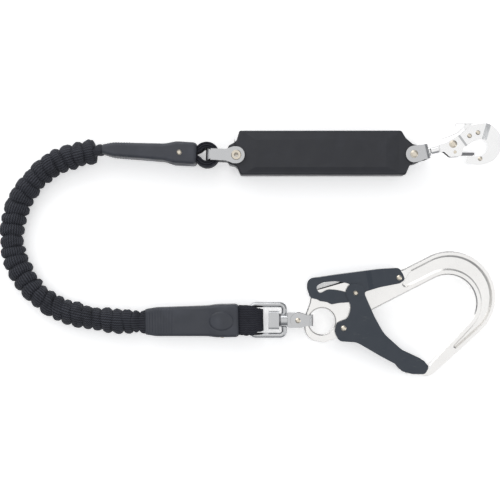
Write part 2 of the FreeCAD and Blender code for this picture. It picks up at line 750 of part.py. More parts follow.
# The window round that path, as far as the gate leaves it in sight.
window_outline = [
    (16.4, -45.4, 4.5), (26.0, -40.2, 12.0), (41.0, -38.6, 30.0), (57.0, -41.2, 20.0),
    (66.0, -46.6, 2.0), (62.0, -52.0, 2.0), (53.8, -49.6, 12.0), (42.0, -47.2, 20.0),
    (30.0, -49.8, 14.0), (22.0, -54.6, 4.0)]
window = plate("lever_window", rounded(window_outline), "80 mm", LOWER)
path_slot = doc.addObject("Part::Feature", "lever_slot")
path_slot.Shape = slot_discs[0].multiFuse(slot_discs[1:] + slot_runs)
path_slot.Placement = at(Vector(), LOWER)
slot_tool = fuse("lever_opening", [path_slot, window])

gauge = size("sheet_metal")
inner_face = evaluate(PLATE_OUT)
lift = size("lever_lift")


def both_sides(name, geometry, thickness, inner):
    """The same plate on the front and the rear of the hook."""
    depth = evaluate(thickness)
    plates = []
    for word, side in (("front", 1), ("rear", -1)):
        level = LOWER + side * (inner + depth / 2)
        plates.append(plate(name + "_" + word, geometry, thickness, level))
    return plates


# The sheet steps out at a joggle, from the pivot's end to the hand end.
JOGGLE_AT = Vector(81.0, -37.0, 0)
JOGGLE_TURN = 10.8
FAR_END = 90.0


def joggle_line(face):
    """Height of a face of the lever's sheet along its length, from the pivot's end."""
    crest = lift + size("lever_crest")
    return [(FAR_END, face), (6.5, face), (0.0, face + crest), (-7.0, face + lift),
            (-FAR_END, face + lift)]


def joggled(name, upper, lower, side=1):
    """A bent sheet between two faces, as wide as the whole lever, for one side of the hook."""
    corners = [(x, side * z, 0) for x, z in upper + lower[::-1]]
    return upright(name, rounded(corners), "120 mm", at(JOGGLE_AT, LOWER, JOGGLE_TURN))


outer_line = joggle_line(inner_face + gauge)
lever_plan = plate("lever_plan", rounded(lever_outline), "80 mm", LOWER)
lever_front = joggled("lever_sheet_front", outer_line, joggle_line(inner_face))
lever_rear = joggled("lever_sheet_rear", outer_line, joggle_line(inner_face), -1)
lever_sheets = common("lever_sheets", [fuse("lever_pair", [lever_front, lever_rear]), lever_plan])
lever_back_outline = rounded([
    (18.8, -30.0, 0.0), (97.5, -19.0, 0.0), (119.4, -19.0, 0.0), (119.6, -24.0, 0.0),
    (97.5, -25.2, 58.0), (43.7, -32.2, 38.4), (19.2, -35.9, 0.5)])
back_plan = plate("lever_back_plan", lever_back_outline, "80 mm", LOWER)
lever_room = joggled("lever_whole_height", outer_line, [(x, -z) for x, z in outer_line])
lever_back = common("lever_back", [lever_room, back_plan, lever_plan])
lever_whole = fuse("lever_whole", [lever_sheets, lever_back])
lever_bore = cylinder("lever_bore", "Sizes.pivot_radius + Sizes.running_gap", "80 mm",
                      Vector(LEVER_PIVOT.x, LEVER_PIVOT.y, LOWER))
keep("hook_lever", cut("lever_cut", lever_whole, fuse("lever_holes", [slot_tool, lever_bore])))

GATE_FACE = PLATE_OUT + " + Sizes.sheet_metal + Sizes.lever_lift + Sizes.side_gap"
gate_inner = evaluate(GATE_FACE)
gate_outline = [
    (53.4, -52.6, 9.0), (60.0, -40.2, 10.0), (77.6, -43.6, 10.0), (78.2, -56.0, 8.0),
    (89.6, -82.0, 60.0), (101.5, -103.6, 40.0), (125.0, -124.8, 40.0), (151.0, -137.0, 6.0),
    (157.6, -145.0, 5.0), (152.6, -154.0, 5.0), (136.4, -153.8, 6.0), (123.6, -150.4, 6.0),
    (117.5, -142.4, 12.0), (97.5, -131.8, 60.0), (68.0, -114.6, 20.0), (46.0, -113.2, 7.0),
    (40.8, -102.0, 7.0), (42.6, -90.6, 8.0), (57.0, -85.2, 8.0), (61.4, -71.0, 14.0)]
gate_plates = both_sides("gate_plate", rounded(gate_outline), "Sizes.sheet_metal", gate_inner)
gate_back_outline = rounded([
    (40.0, -120.0, 0.0), (68.0, -124.0, 0.0), (112.0, -148.0, 0.0), (115.8, -138.6, 0.0),
    (98.7, -129.4, 60.0), (69.2, -112.1, 20.0), (46.6, -110.6, 1.5), (42.0, -110.8, 0.0)])
gate_height = "2 * (%s + Sizes.sheet_metal)" % GATE_FACE
gate_back = common("gate_back", [plate("gate_fold", gate_back_outline, gate_height, LOWER),
                                 plate("gate_plan", rounded(gate_outline), gate_height, LOWER)])
gate_bore = cylinder("gate_bore", "Sizes.pivot_radius + Sizes.running_gap", "80 mm",
                     Vector(GATE_PIVOT.x, GATE_PIVOT.y, LOWER))
pin_bore = cylinder("gate_pin_bore", "Sizes.lock_pin_radius + Sizes.running_gap", "80 mm",
                    Vector(LOCK_PIN.x, LOCK_PIN.y, LOWER))
gate_whole = fuse("gate_whole", gate_plates + [gate_back])
keep("hook_gate", cut("gate_cut", gate_whole, fuse("gate_holes", [gate_bore, pin_bore])))

gate_half = GATE_FACE + " + Sizes.sheet_metal + Sizes.running_gap"
rivet("gate_rivet", GATE_PIVOT, LOWER, "Sizes.pivot_radius", gate_half)
lever_half = PLATE_OUT + " + Sizes.sheet_metal + Sizes.running_gap"
rivet("lever_rivet", LEVER_PIVOT, LOWER, "Sizes.pivot_radius", lever_half)

lock_pins = []
pin_inner = evaluate(PLATE_OUT) + 0.1
for word, side in (("front", 1), ("rear", -1)):
    outside = gate_inner + gauge + size("running_gap")
    stud = Part.makeCylinder(size("lock_pin_radius"), outside - pin_inner, Vector(0, 0, pin_inner))
    head = Part.makeCone(size("rivet_head"), 0.6 * size("rivet_head"), size("rivet_head_height"),
                         Vector(0, 0, outside))
    pin = stud.fuse(head)
    if side < 0:
        pin = pin.mirror(Vector(), Vector(0, 0, 1))
    lock_pins.append(pin)
placed("gate_lock_pins", Part.makeCompound(lock_pins), at(LOCK_PIN, LOWER))


def torsion_spring(radius, level, legs):
    """Two turns of wire round a pivot, with a straight leg from each."""
    wire = size("spring_wire")
    turns = []
    for i, (direction, length) in enumerate(legs):
        height = level + (2 * i - 1) * (wire + 0.1)
        turn = Part.makeTorus(radius, wire, Vector(0, 0, height))
        out = Rotation(Vector(0, 0, 1), direction).multVec(Vector(1, 0, 0))
        side = Rotation(Vector(0, 0, 1), 90).multVec(out)
        leg = Part.makeCylinder(wire, length, out * radius + Vector(0, 0, height), side)
        turns.append(turn.fuse(leg))
    return Part.makeCompound(turns)


placed("gate_spring", torsion_spring(5.0, half_thickness + 1.45, [(200.0, 9.0), (20.0, 7.0)]),
       at(GATE_PIVOT, LOWER))
placed("lever_spring", torsion_spring(4.2, -half_thickness + 1.6, [(150.0, 3.4), (250.0, 3.4)]),
       at(LEVER_PIVOT, LOWER))


# ---- Brackets and energy absorber --------------------------------------------------------------

def bracket(label, pin, bight_inside, width, turn, end_radius, pin_radius):
    """A U bracket with its bight round the webbing eye or the swivel stem."""
    leg = strap(label, pin, bight_inside, "Sizes.bracket_inside", "Sizes.bracket_thickness",
                width, UPPER, 2.5, end_radius, turn)
    bore = cylinder(label + "_bore", pin_radius + " + Sizes.running_gap", "80 mm",
                    Vector(pin.x, pin.y, UPPER))
    return leg, bore


def tube_rivet(label, point, level, half_length):
    """A tubular rivet with rolled ends, open through its middle."""
    flange = half_length + " + 0.9"
    bore = "0.56 * Sizes.bracket_tube"
    rim = "1.25 * Sizes.bracket_tube"
    profile = [(bore, "-(%s)" % flange), ("1.1 * Sizes.bracket_tube", "-(%s)" % flange),
               (rim, "-(%s)" % half_length), ("Sizes.bracket_tube", "-(%s)" % half_length),
               ("Sizes.bracket_tube", half_length), (rim, half_length),
               ("1.1 * Sizes.bracket_tube", flange), (bore, flange)]
    return turned(label, profile, at(point, level))


LEFT_BIGHT = Vector(UPPER_LOOP.x + 2.2, UPPER_LOOP.y, 0)
left_turn = math.degrees(math.atan2(LEFT_BIGHT.y - LEFT_PIN.y, LEFT_BIGHT.x - LEFT_PIN.x))
left_leg, left_bore = bracket("left_bracket_leg", LEFT_PIN, LEFT_BIGHT, "Sizes.bracket_width",
                              left_turn, 10.4, "Sizes.bracket_tube")
# The bight narrows where it passes through the webbing eye.
eye_room = cylinder("eye_room", "Sizes.loop_inner - 2 * Sizes.side_gap",
                    "Sizes.bracket_inside + 2 * Sizes.bracket_thickness + 1",
                    Vector(UPPER_LOOP.x, UPPER_LOOP.y, UPPER))
leg_room = box("leg_room", "50 mm", "60 mm", "80 mm",
               Vector(UPPER_LOOP.x + 5.0 + 25.0, UPPER_LOOP.y, UPPER), left_turn + 180)
bight_room = fuse("bight_room", [eye_room, leg_room])
left_narrow = common("left_bracket_narrow", [left_leg, bight_room])
keep("left_bracket", cut("left_bracket_cut", left_narrow, left_bore))
bracket_half = "0.5 * Sizes.bracket_inside + Sizes.bracket_thickness + Sizes.running_gap"
tube_rivet("left_bracket_rivet", LEFT_PIN, UPPER, bracket_half)

RIGHT_REACH = 16.4
stem_axis = Rotation(Vector(0, 0, 1), RIGHT_BRACKET_TURN).multVec(Vector(1, 0, 0))
RIGHT_BIGHT = RIGHT_PIN + stem_axis * RIGHT_REACH
right_leg, right_bore = bracket("right_bracket_leg", RIGHT_PIN, RIGHT_BIGHT,
                                "Sizes.right_bracket_width", RIGHT_BRACKET_TURN, 10.2,
                                "Sizes.right_pin")
stem_middle = Vector(RIGHT_BIGHT.x, RIGHT_BIGHT.y, UPPER)
swivel_bore = cylinder("swivel_bore", "Sizes.snap_stem_radius + Sizes.running_gap", "20 mm",
                       stem_middle, stem_axis)
right_tools = fuse("right_bracket_bores", [right_bore, swivel_bore])
keep("right_bracket", cut("right_bracket_cut", right_leg, right_tools))
rivet("right_bracket_rivet", RIGHT_PIN, UPPER, "Sizes.right_pin", bracket_half,
      "Sizes.right_pin + 1.1")

cover_outline = [
    (-92.6, 117.1, 8.0), (-91.8, 128.6, 5.0), (-81.4, 134.2, 10.0), (-77.6, 147.4, 3.2),
    (122.6, 147.6, 4.5), (127.6, 138.6, 14.0), (137.0, 130.6, 6.0), (148.4, 129.0, 10.6),
    (148.4, 107.2, 10.6), (133.4, 106.4, 8.0), (127.6, 92.7, 3.2), (-76.2, 92.7, 3.2),
    (-81.0, 104.0, 8.0), (-91.8, 106.0, 5.0)]
PANEL_FOOT = (-70.3, 119.5, 144.4, 95.8)
PANEL_TOP = (-57.5, 103.4, 135.6, 102.1)
NECK_RADIUS = 10.9


def rectangle(left, right, top, bottom, level):
    points = [Vector(left, bottom, level), Vector(right, bottom, level),
              Vector(right, top, level), Vector(left, top, level)]
    return Part.makePolygon(points + points[:1])


def cover_solid(inset):
    """The whole cover, or with an inset its hollow: rim, end zones and two raised panels."""
    wire = Part.Wire([piece.toShape() for piece in rounded(cover_outline)])
    if inset:
        wire = wire.makeOffset2D(-inset)
    edge_half = size("cover_edge") / 2 - inset
    top_half = size("cover_height") / 2 - inset
    slab = Part.Face(wire).extrude(Vector(0, 0, 2 * edge_half))
    slab.translate(Vector(0, 0, -edge_half))
    if not inset:
        rim = [edge for edge in slab.Edges if edge.BoundBox.ZLength < 1e-4]
        slab = slab.makeFillet(size("cover_round"), rim)
    left, right, top, bottom = PANEL_FOOT
    high_left, high_right, high_top, high_bottom = PANEL_TOP
    panels = []
    for side in (1, -1):
        foot = rectangle(left + inset, right - inset, top - inset, bottom + inset,
                         side * edge_half)
        crown = rectangle(high_left + inset, high_right - inset, high_top - inset,
                          high_bottom + inset, side * top_half)
        panels.append(Part.makeLoft([foot, crown], True, True))
    return slab.multiFuse(panels)


TUBE_ROOM = size("bracket_tube") + 1.6


def cover_shell(side):
    """One half of the hollow cover."""
    shell = cover_solid(0.0).cut(cover_solid(size("cover_wall")))
    for pin in (LEFT_PIN, RIGHT_PIN):
        shell = shell.cut(Part.makeCylinder(TUBE_ROOM, 80, Vector(pin.x, pin.y, -40)))
    low = 0.05 if side > 0 else -60.0
    half = Part.makeBox(400, 200, 59.95, Vector(-150, 20, low))
    return shell.common(half)


placed("cover_front_shell", cover_shell(1), at(Vector(), UPPER))
placed("cover_rear_shell", cover_shell(-1), at(Vector(), UPPER))

PACK_LEFT = -66.0
PACK_RIGHT = 116.0
PACK_TOP = 143.6
PACK_BOTTOM = 96.4
layers = 8
layer_pitch = (PACK_TOP - PACK_BOTTOM) / layers
pack_parts = []
pack_width = size("pack_width")
for i in range(layers):
    low = PACK_BOTTOM + i * layer_pitch
    start = PACK_LEFT + (0.0 if i % 2 else 3.0)
    finish = PACK_RIGHT - (3.0 if i % 2 else 0.0)
    pack_parts.append(Part.makeBox(finish - start, layer_pitch - 0.3, pack_width,
                                   Vector(start, low, -pack_width / 2)))
for i in range(layers - 1):
    low = PACK_BOTTOM + i * layer_pitch + 1.0
    fold_at = PACK_LEFT + 3.0 if i % 2 else PACK_RIGHT - 6.0
    pack_parts.append(Part.makeBox(3.0, layer_pitch + 1.0, pack_width,
                                   Vector(fold_at, low, -pack_width / 2)))
placed("tear_webbing_pack", pack_parts[0].multiFuse(pack_parts[1:]).removeSplitter(),
       at(Vector(), UPPER))


def end_loop(pin, pin_radius, side):
    """The pack's webbing eye round a bracket's rivet, with its sewn neck."""
    outer = 9.0
    bore = pin_radius + size("side_gap")
    eye = Part.makeCylinder(outer, pack_width, Vector(pin.x, pin.y, -pack_width / 2))
    inner_end = PACK_LEFT - 0.6 if side < 0 else PACK_RIGHT + 0.6
    left = min(pin.x, inner_end)
    neck = Part.makeBox(abs(inner_end - pin.x), 13.0, pack_width,
                        Vector(left, pin.y - 6.5, -pack_width / 2))
    hole = Part.makeCylinder(bore, 80, Vector(pin.x, pin.y, -40))
    return eye.fuse(neck).removeSplitter().cut(hole)


placed("left_end_loop", end_loop(LEFT_PIN, size("bracket_tube"), -1), at(Vector(), UPPER))
placed("right_end_loop", end_loop(RIGHT_PIN, size("right_pin"), 1), at(Vector(), UPPER))

tacks = []
for row in range(5):
    for column in (PACK_LEFT + 22, 0.5 * (PACK_LEFT + PACK_RIGHT), PACK_RIGHT - 22):
        y = PACK_BOTTOM + 6 + row * 8.6
        for side in (1, -1):
            level = side * (pack_width / 2 + 0.1)
            corner = Vector(column - 12, y, min(level, level + side * 0.8))
            tacks.append(Part.makeBox(24.0, 1.4, 0.8, corner))
placed("pack_stitching", Part.makeCompound(tacks), at(Vector(), UPPER))


# ---- Snap hook ---------------------------------------------------------------------------------

HEAD = 4.0
head_near = RIGHT_REACH - 0.2 - HEAD
stem_frame = Placement(Vector(RIGHT_PIN.x, RIGHT_PIN.y, UPPER),
                       Rotation(Vector(0, 0, 1), RIGHT_BRACKET_TURN))


def along_stem(radius, near, far, far_radius=None):
    """A cylinder or cone on the swivel axis between two distances from the bracket's rivet."""
    axis = Vector(1, 0, 0)
    foot = Vector(near, 0, 0)
    if far_radius is None:
        return Part.makeCylinder(radius, far - near, foot, axis)
    return Part.makeCone(radius, far_radius, far - near, foot, axis)


COLLAR_START = RIGHT_REACH + size("bracket_thickness") + 0.2
stem_shape = along_stem(8.0, head_near, head_near + HEAD).multiFuse([
    along_stem(size("snap_stem_radius"), head_near, COLLAR_START + 14.0),
    along_stem(7.6, COLLAR_START, COLLAR_START + 2.4),
    along_stem(7.0, COLLAR_START + 2.4, COLLAR_START + 4.4, 5.4)])
SNAP_ROOT = COLLAR_START + 14.0
placed("snap_stem", stem_shape, stem_frame)

snap_outline = [
    (169.6, 131.2, 2.0), (179.0, 133.2, 6.0), (194.4, 142.3, 20.0), (206.5, 152.2, 12.0),
    (213.0, 155.6, 14.0), (231.0, 158.8, 22.0), (249.0, 146.0, 24.0), (246.0, 111.0, 24.0),
    (222.0, 105.6, 22.0), (202.6, 107.2, 3.6), (206.0, 116.4, 3.0), (224.6, 117.0, 8.1),
    (232.6, 128.0, 8.1), (225.6, 138.6, 8.1), (216.0, 136.2, 8.0), (200.0, 127.0, 3.0),
    (184.0, 127.6, 4.0), (172.0, 120.2, 2.0)]
snap_solid = plate("snap_solid", rounded(snap_outline), "Sizes.snap_thickness", UPPER)
RIVET_BORE = "Sizes.snap_rivet + Sizes.running_gap"


def snap_bore(name, point, radius=RIVET_BORE):
    return cylinder(name, radius, "60 mm", Vector(point.x, point.y, UPPER))


LEVER_PIN = SNAP_SMALL_RIVETS[0]
slot_disc = cylinder("thumb_slot_disc", "7 mm", "6.4 mm", Vector(LEVER_PIN.x, LEVER_PIN.y, UPPER))
slot_way = box("thumb_slot_way", "14 mm", "22 mm", "6.4 mm",
               Vector(LEVER_PIN.x - 1.6, LEVER_PIN.y + 11.0, UPPER), 14.0)
snap_cutters = [slot_disc, slot_way]
for number, point in enumerate([SNAP_MAIN_RIVET, SNAP_NOSE_RIVET] + SNAP_SMALL_RIVETS):
    snap_cutters.append(snap_bore("snap_bore_%d" % number, point))
keep("snap_hook", cut("snap_cut", snap_solid, fuse("snap_cutters", snap_cutters)))

side_outline = rounded([
    (170.6, 130.8, 2.0), (179.0, 133.0, 6.0), (194.4, 142.1, 20.0), (206.5, 152.0, 12.0),
    (213.0, 155.3, 14.0), (231.0, 158.5, 20.0), (248.0, 146.2, 4.0), (238.0, 133.0, 2.0),
    (226.0, 138.0, 7.0), (216.0, 136.2, 8.0), (200.6, 127.2, 4.0), (197.6, 116.4, 3.5),
    (184.0, 115.6, 4.0), (176.0, 122.8, 8.0), (172.6, 121.0, 2.0)])
snap_face = size("snap_thickness") / 2 + 0.05
plate_face = snap_face + size("snap_plate")
raised_face = plate_face + size("snap_step")
# The side plates step up beside the main rivet and slope down onto the bow.
STEP_UP = Vector(199.7, 135.3, 0)
STEP_UP_TURN = 36.4
RAMP_DOWN = Vector(229.0, 147.0, 0)
RAMP_DOWN_TURN = -16.0
RAMP_HALF = 3.2
step_up = [(-60.0, snap_face, 0), (-60.0, plate_face, 0), (-1.4, plate_face, 1),
           (1.4, raised_face, 1), (60.0, raised_face, 0), (60.0, snap_face, 0)]
ramp_down = [(-80.0, snap_face, 0), (-80.0, raised_face, 0), (-RAMP_HALF, raised_face, 2),
             (RAMP_HALF, snap_face + 0.7, 0), (RAMP_HALF, snap_face, 0)]


def on_side(corners, side):
    """A profile's corners on the front or the rear of the snap hook."""
    return rounded([(x, side * z, radius) for x, z, radius in corners])


for word, side in (("front", 1), ("rear", -1)):
    whole = common("snap_side_" + word, [
        upright("snap_step_" + word, on_side(step_up, side), "120 mm",
                at(STEP_UP, UPPER, STEP_UP_TURN)),
        upright("snap_ramp_" + word, on_side(ramp_down, side), "120 mm",
                at(RAMP_DOWN, UPPER, RAMP_DOWN_TURN)),
        plate("snap_plan_" + word, side_outline, "60 mm", UPPER)])
    bores = []
    for number, point in enumerate([SNAP_MAIN_RIVET, SNAP_GATE_PIVOT] + SNAP_SMALL_RIVETS):
        bores.append(snap_bore("snap_%s_bore_%d" % (word, number), point))
    keep("snap_%s_plate" % word, cut("snap_side_cut_" + word, whole,
                                     fuse("snap_side_bores_" + word, bores)))

snap_half = "0.5 * Sizes.snap_thickness + 2 * Sizes.running_gap"
plate_half = snap_half + " + Sizes.snap_plate"
rivet("snap_main_rivet", SNAP_MAIN_RIVET, UPPER, "Sizes.snap_rivet", plate_half, "4.8")
keep("snap_gate_rivet", cylinder("snap_gate_pin", "Sizes.snap_rivet", "2 * (%s)" % plate_half,
                                 Vector(SNAP_GATE_PIVOT.x, SNAP_GATE_PIVOT.y, UPPER)))
rivet("snap_nose_rivet", SNAP_NOSE_RIVET, UPPER, "Sizes.snap_rivet", snap_half, "2.7")
small = []
for point in SNAP_SMALL_RIVETS:
    reach = raised_face + size("running_gap")
    pin = Part.makeCylinder(size("snap_rivet"), 2 * reach, Vector(point.x, point.y, -reach))
    top = Part.makeCone(2.9, 1.8, 1.0, Vector(point.x, point.y, reach))
    low = Part.makeCone(2.9, 1.8, 1.0, Vector(point.x, point.y, -reach), Vector(0, 0, -1))
    small.append(pin.multiFuse([top, low]))
placed("snap_small_rivets", Part.makeCompound(small), at(Vector(), UPPER))

hub = cylinder("gate_hub", "4.2 mm", "6 mm", Vector(SNAP_GATE_PIVOT.x, SNAP_GATE_PIVOT.y, UPPER))
neck_bar = plate("gate_neck", rounded([
    (190.4, 117.5, 0), (200.0, 117.5, 0), (200.0, 121.4, 1.0), (193.0, 124.4, 1.0)]), "6 mm", UPPER)
tip_bar = plate("gate_tip", rounded([
    (195.8, 117.7, 1.0), (214.6, 117.7, 1.6), (214.6, 121.2, 1.6), (195.8, 121.4, 1.0)]),
    "9 mm", UPPER)
keep("snap_gate", cut("snap_gate_cut", fuse("snap_gate_whole", [hub, neck_bar, tip_bar]),
                      snap_bore("snap_gate_bore", SNAP_GATE_PIVOT)))


def coil_pair(radius, wire, offset, leg_length, direction):
    """One turn of wire on each side of a hub, with straight legs."""
    out = Rotation(Vector(0, 0, 1), direction).multVec(Vector(1, 0, 0))
    coils = []
    for side in (1, -1):
        turn = Part.makeTorus(radius, wire, Vector(0, 0, side * offset))
        foot = Rotation(Vector(0, 0, 1), -90).multVec(out) * radius + Vector(0, 0, side * offset)
        leg = Part.makeCylinder(wire, leg_length, foot, out)
        coils.append(turn.fuse(leg))
    return Part.makeCompound(coils)


placed("snap_gate_spring", coil_pair(3.2, 0.5, 3.9, 4.0, 150.0), at(SNAP_GATE_PIVOT, UPPER))
placed("thumb_lever_spring", coil_pair(3.2, 0.4, 2.6, 3.4, 60.0), at(LEVER_PIN, UPPER))

pad_strip = rounded([
    (190.0, 152.6, 0.7), (190.0, 157.6, 1.6), (213.6, 157.9, 1.0), (213.4, 156.7, 0.5),
    (191.6, 156.2, 0.8), (191.4, 152.6, 0.6)])
neck_strip = rounded([
    (172.6, 138.4, 0.6), (182.0, 141.6, 8.0), (193.4, 146.6, 8.0), (199.6, 152.6, 4.0),
    (204.6, 157.0, 0.0), (209.0, 157.0, 0.0), (201.0, 151.4, 4.0), (194.4, 145.0, 8.0),
    (182.6, 140.2, 8.0), (173.2, 137.0, 0.6)])
pad = plate("thumb_pad", pad_strip, "13 mm", UPPER)
tail = plate("thumb_tail", neck_strip, "11 mm", UPPER)
blade = plate("thumb_blade", rounded([
    (202.6, 157.6, 0.5), (202.8, 141.5, 0.5), (212.4, 141.5, 0.5), (211.2, 157.6, 0.5)]),
    "3.4 mm", UPPER)
thumb_hub = cylinder("thumb_hub", "4.8 mm", "3.4 mm", Vector(LEVER_PIN.x, LEVER_PIN.y, UPPER))
thumb_whole = fuse("thumb_whole", [pad, tail, blade, thumb_hub])
keep("snap_thumb_lever", cut("thumb_cut", thumb_whole, snap_bore("thumb_bore", LEVER_PIN)))


# ---- Check and write every piece ---------------------------------------------------------------

doc.recompute()
os.makedirs("parts", exist_ok=True)
for thing in doc.Objects:
    failed = {"Invalid", "Error"} & set(thing.State)
    if failed:
        raise RuntimeError("%s: %s" % (thing.Label, sorted(failed)))
for label, thing in named.items():
    if thing.Shape.isNull() or not thing.Shape.isValid():
        raise RuntimeError("bad shape: " + label)
total = Part.makeCompound([thing.Shape for thing in named.values()]).BoundBox
print("nodes:", len(named))
print("box, mm: X %.2f %.2f  Y %.2f %.2f  Z %.2f %.2f"
      % (total.XMin, total.XMax, total.YMin, total.YMax, total.ZMin, total.ZMax))
rigid = [t.Shape for name, t in named.items() if name not in ("bellows_webbing", "elastic_core")]
rigid = Part.makeCompound(rigid).BoundBox
print("rigid pieces, mm: X %.2f %.2f  Y %.2f %.2f  Z %.2f %.2f"
      % (rigid.XMin, rigid.XMax, rigid.YMin, rigid.YMax, rigid.ZMin, rigid.ZMax))
for label, thing in named.items():
    thing.Shape.exportStep("parts/%s.step" % label)
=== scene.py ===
"""Looks for a shock absorbing lanyard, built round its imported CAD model.

Lengths are metres, in the row frame: +X from the gathered webbing to the hooks, +Z up.
"""

import json
import math

import bpy
import numpy as np
from mathutils import Matrix, Vector


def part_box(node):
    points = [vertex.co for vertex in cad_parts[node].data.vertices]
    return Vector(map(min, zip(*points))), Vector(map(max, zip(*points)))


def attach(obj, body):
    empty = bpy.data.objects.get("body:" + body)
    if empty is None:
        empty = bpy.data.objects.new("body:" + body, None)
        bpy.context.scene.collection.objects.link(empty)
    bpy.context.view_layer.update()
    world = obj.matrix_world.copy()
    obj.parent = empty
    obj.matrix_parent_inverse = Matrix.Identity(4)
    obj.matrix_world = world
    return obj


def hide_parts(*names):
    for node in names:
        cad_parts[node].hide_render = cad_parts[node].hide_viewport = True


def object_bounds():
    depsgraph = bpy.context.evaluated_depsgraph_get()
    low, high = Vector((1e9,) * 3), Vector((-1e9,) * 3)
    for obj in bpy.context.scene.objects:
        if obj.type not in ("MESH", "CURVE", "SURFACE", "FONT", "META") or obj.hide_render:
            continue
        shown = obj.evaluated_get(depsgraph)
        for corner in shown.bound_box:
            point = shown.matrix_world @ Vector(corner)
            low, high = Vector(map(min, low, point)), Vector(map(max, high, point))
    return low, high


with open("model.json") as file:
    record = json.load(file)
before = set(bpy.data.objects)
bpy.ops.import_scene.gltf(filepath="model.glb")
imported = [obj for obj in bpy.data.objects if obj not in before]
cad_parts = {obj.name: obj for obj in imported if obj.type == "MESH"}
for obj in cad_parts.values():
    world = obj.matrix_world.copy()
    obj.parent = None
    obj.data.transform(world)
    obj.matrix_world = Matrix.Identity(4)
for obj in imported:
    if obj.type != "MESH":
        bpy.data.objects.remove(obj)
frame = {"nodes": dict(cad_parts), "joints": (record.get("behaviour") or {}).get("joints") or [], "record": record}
cad_low, cad_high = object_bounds()
NODES = frame["nodes"]
scene = bpy.context.scene
MM = 0.001

# ---- Camera ------------------------------------------------------------------------------------

CHAIN_LEVEL = 0.018
CAMERA_DISTANCE = 1.35
VIEW_WIDTH = 0.625

camera_data = bpy.data.cameras.new("camera")
camera_data.sensor_width = 36.0
camera_data.lens = camera_data.sensor_width * CAMERA_DISTANCE / VIEW_WIDTH
camera = bpy.data.objects.new("camera", camera_data)
camera.location = ((cad_low.x + cad_high.x) / 2, 0.0, CHAIN_LEVEL + CAMERA_DISTANCE)
scene.collection.objects.link(camera)
scene.camera = camera


# ---- Mesh helpers ------------------------------------------------------------------------------


def mesh_object(name, points, faces, body, surface, uv=None, smooth=True):
    """A new piece that rides on a CAD body. uv holds one pair for each corner of each face."""
    mesh = bpy.data.meshes.new(name)
    mesh.from_pydata([tuple(p) for p in points], [], [tuple(f) for f in faces])
    if uv is not None:
        layer = mesh.uv_layers.new(name="cloth")
        layer.data.foreach_set("uv", np.asarray(uv, np.float32).ravel())
    mesh.polygons.foreach_set("use_smooth", [smooth] * len(mesh.polygons))
    mesh.materials.append(surface)
    mesh.update()
    piece = bpy.data.objects.new(name, mesh)
    scene.collection.objects.link(piece)
    if body:
        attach(piece, body)
    return piece


def skin(name, rings, body, surface, uv=None):
    """A closed tube through rings of points, capped at both ends.

    uv is one grid of pairs, one column wider than a ring.
    """
    rows, columns = rings.shape[:2]
    points = rings.reshape(-1, 3)
    row, column = np.meshgrid(np.arange(rows - 1), np.arange(columns), indexing="ij")
    after = (column + 1) % columns
    quads = np.stack([row * columns + column, row * columns + after,
                      (row + 1) * columns + after, (row + 1) * columns + column], -1)
    middle = len(points)
    points = np.vstack([points, rings[0].mean(0), rings[-1].mean(0)])
    start = (rows - 1) * columns
    first = [((c + 1) % columns, c, middle) for c in range(columns)]
    last = [(start + c, start + (c + 1) % columns, middle + 1) for c in range(columns)]
    faces = quads.reshape(-1, 4).tolist() + first + last
    corners = None
    if uv is not None:
        grid = np.stack([uv[row, column], uv[row, column + 1],
                         uv[row + 1, column + 1], uv[row + 1, column]], 2)
        corners = np.vstack([grid.reshape(-1, 2), np.zeros((6 * columns, 2))])
    return mesh_object(name, points, faces, body, surface, corners)


def ease(share):
    """A share held between 0 and 1, with a soft start and end."""
    share = np.clip(share, 0, 1)
    return share * share * (3 - 2 * share)


def smooth_noise(rng, count, scale, length):
    """A smooth random line: one value for each of count points over that length."""
    knots = max(4, int(length / scale) + 3)
    values = rng.uniform(-1, 1, knots)
    at = np.linspace(1, knots - 2, count)
    low = np.floor(at).astype(int)
    part = ease(at - low)
    return values[low] * (1 - part) + values[np.minimum(low + 1, knots - 1)] * part


# ---- Materials ---------------------------------------------------------------------------------


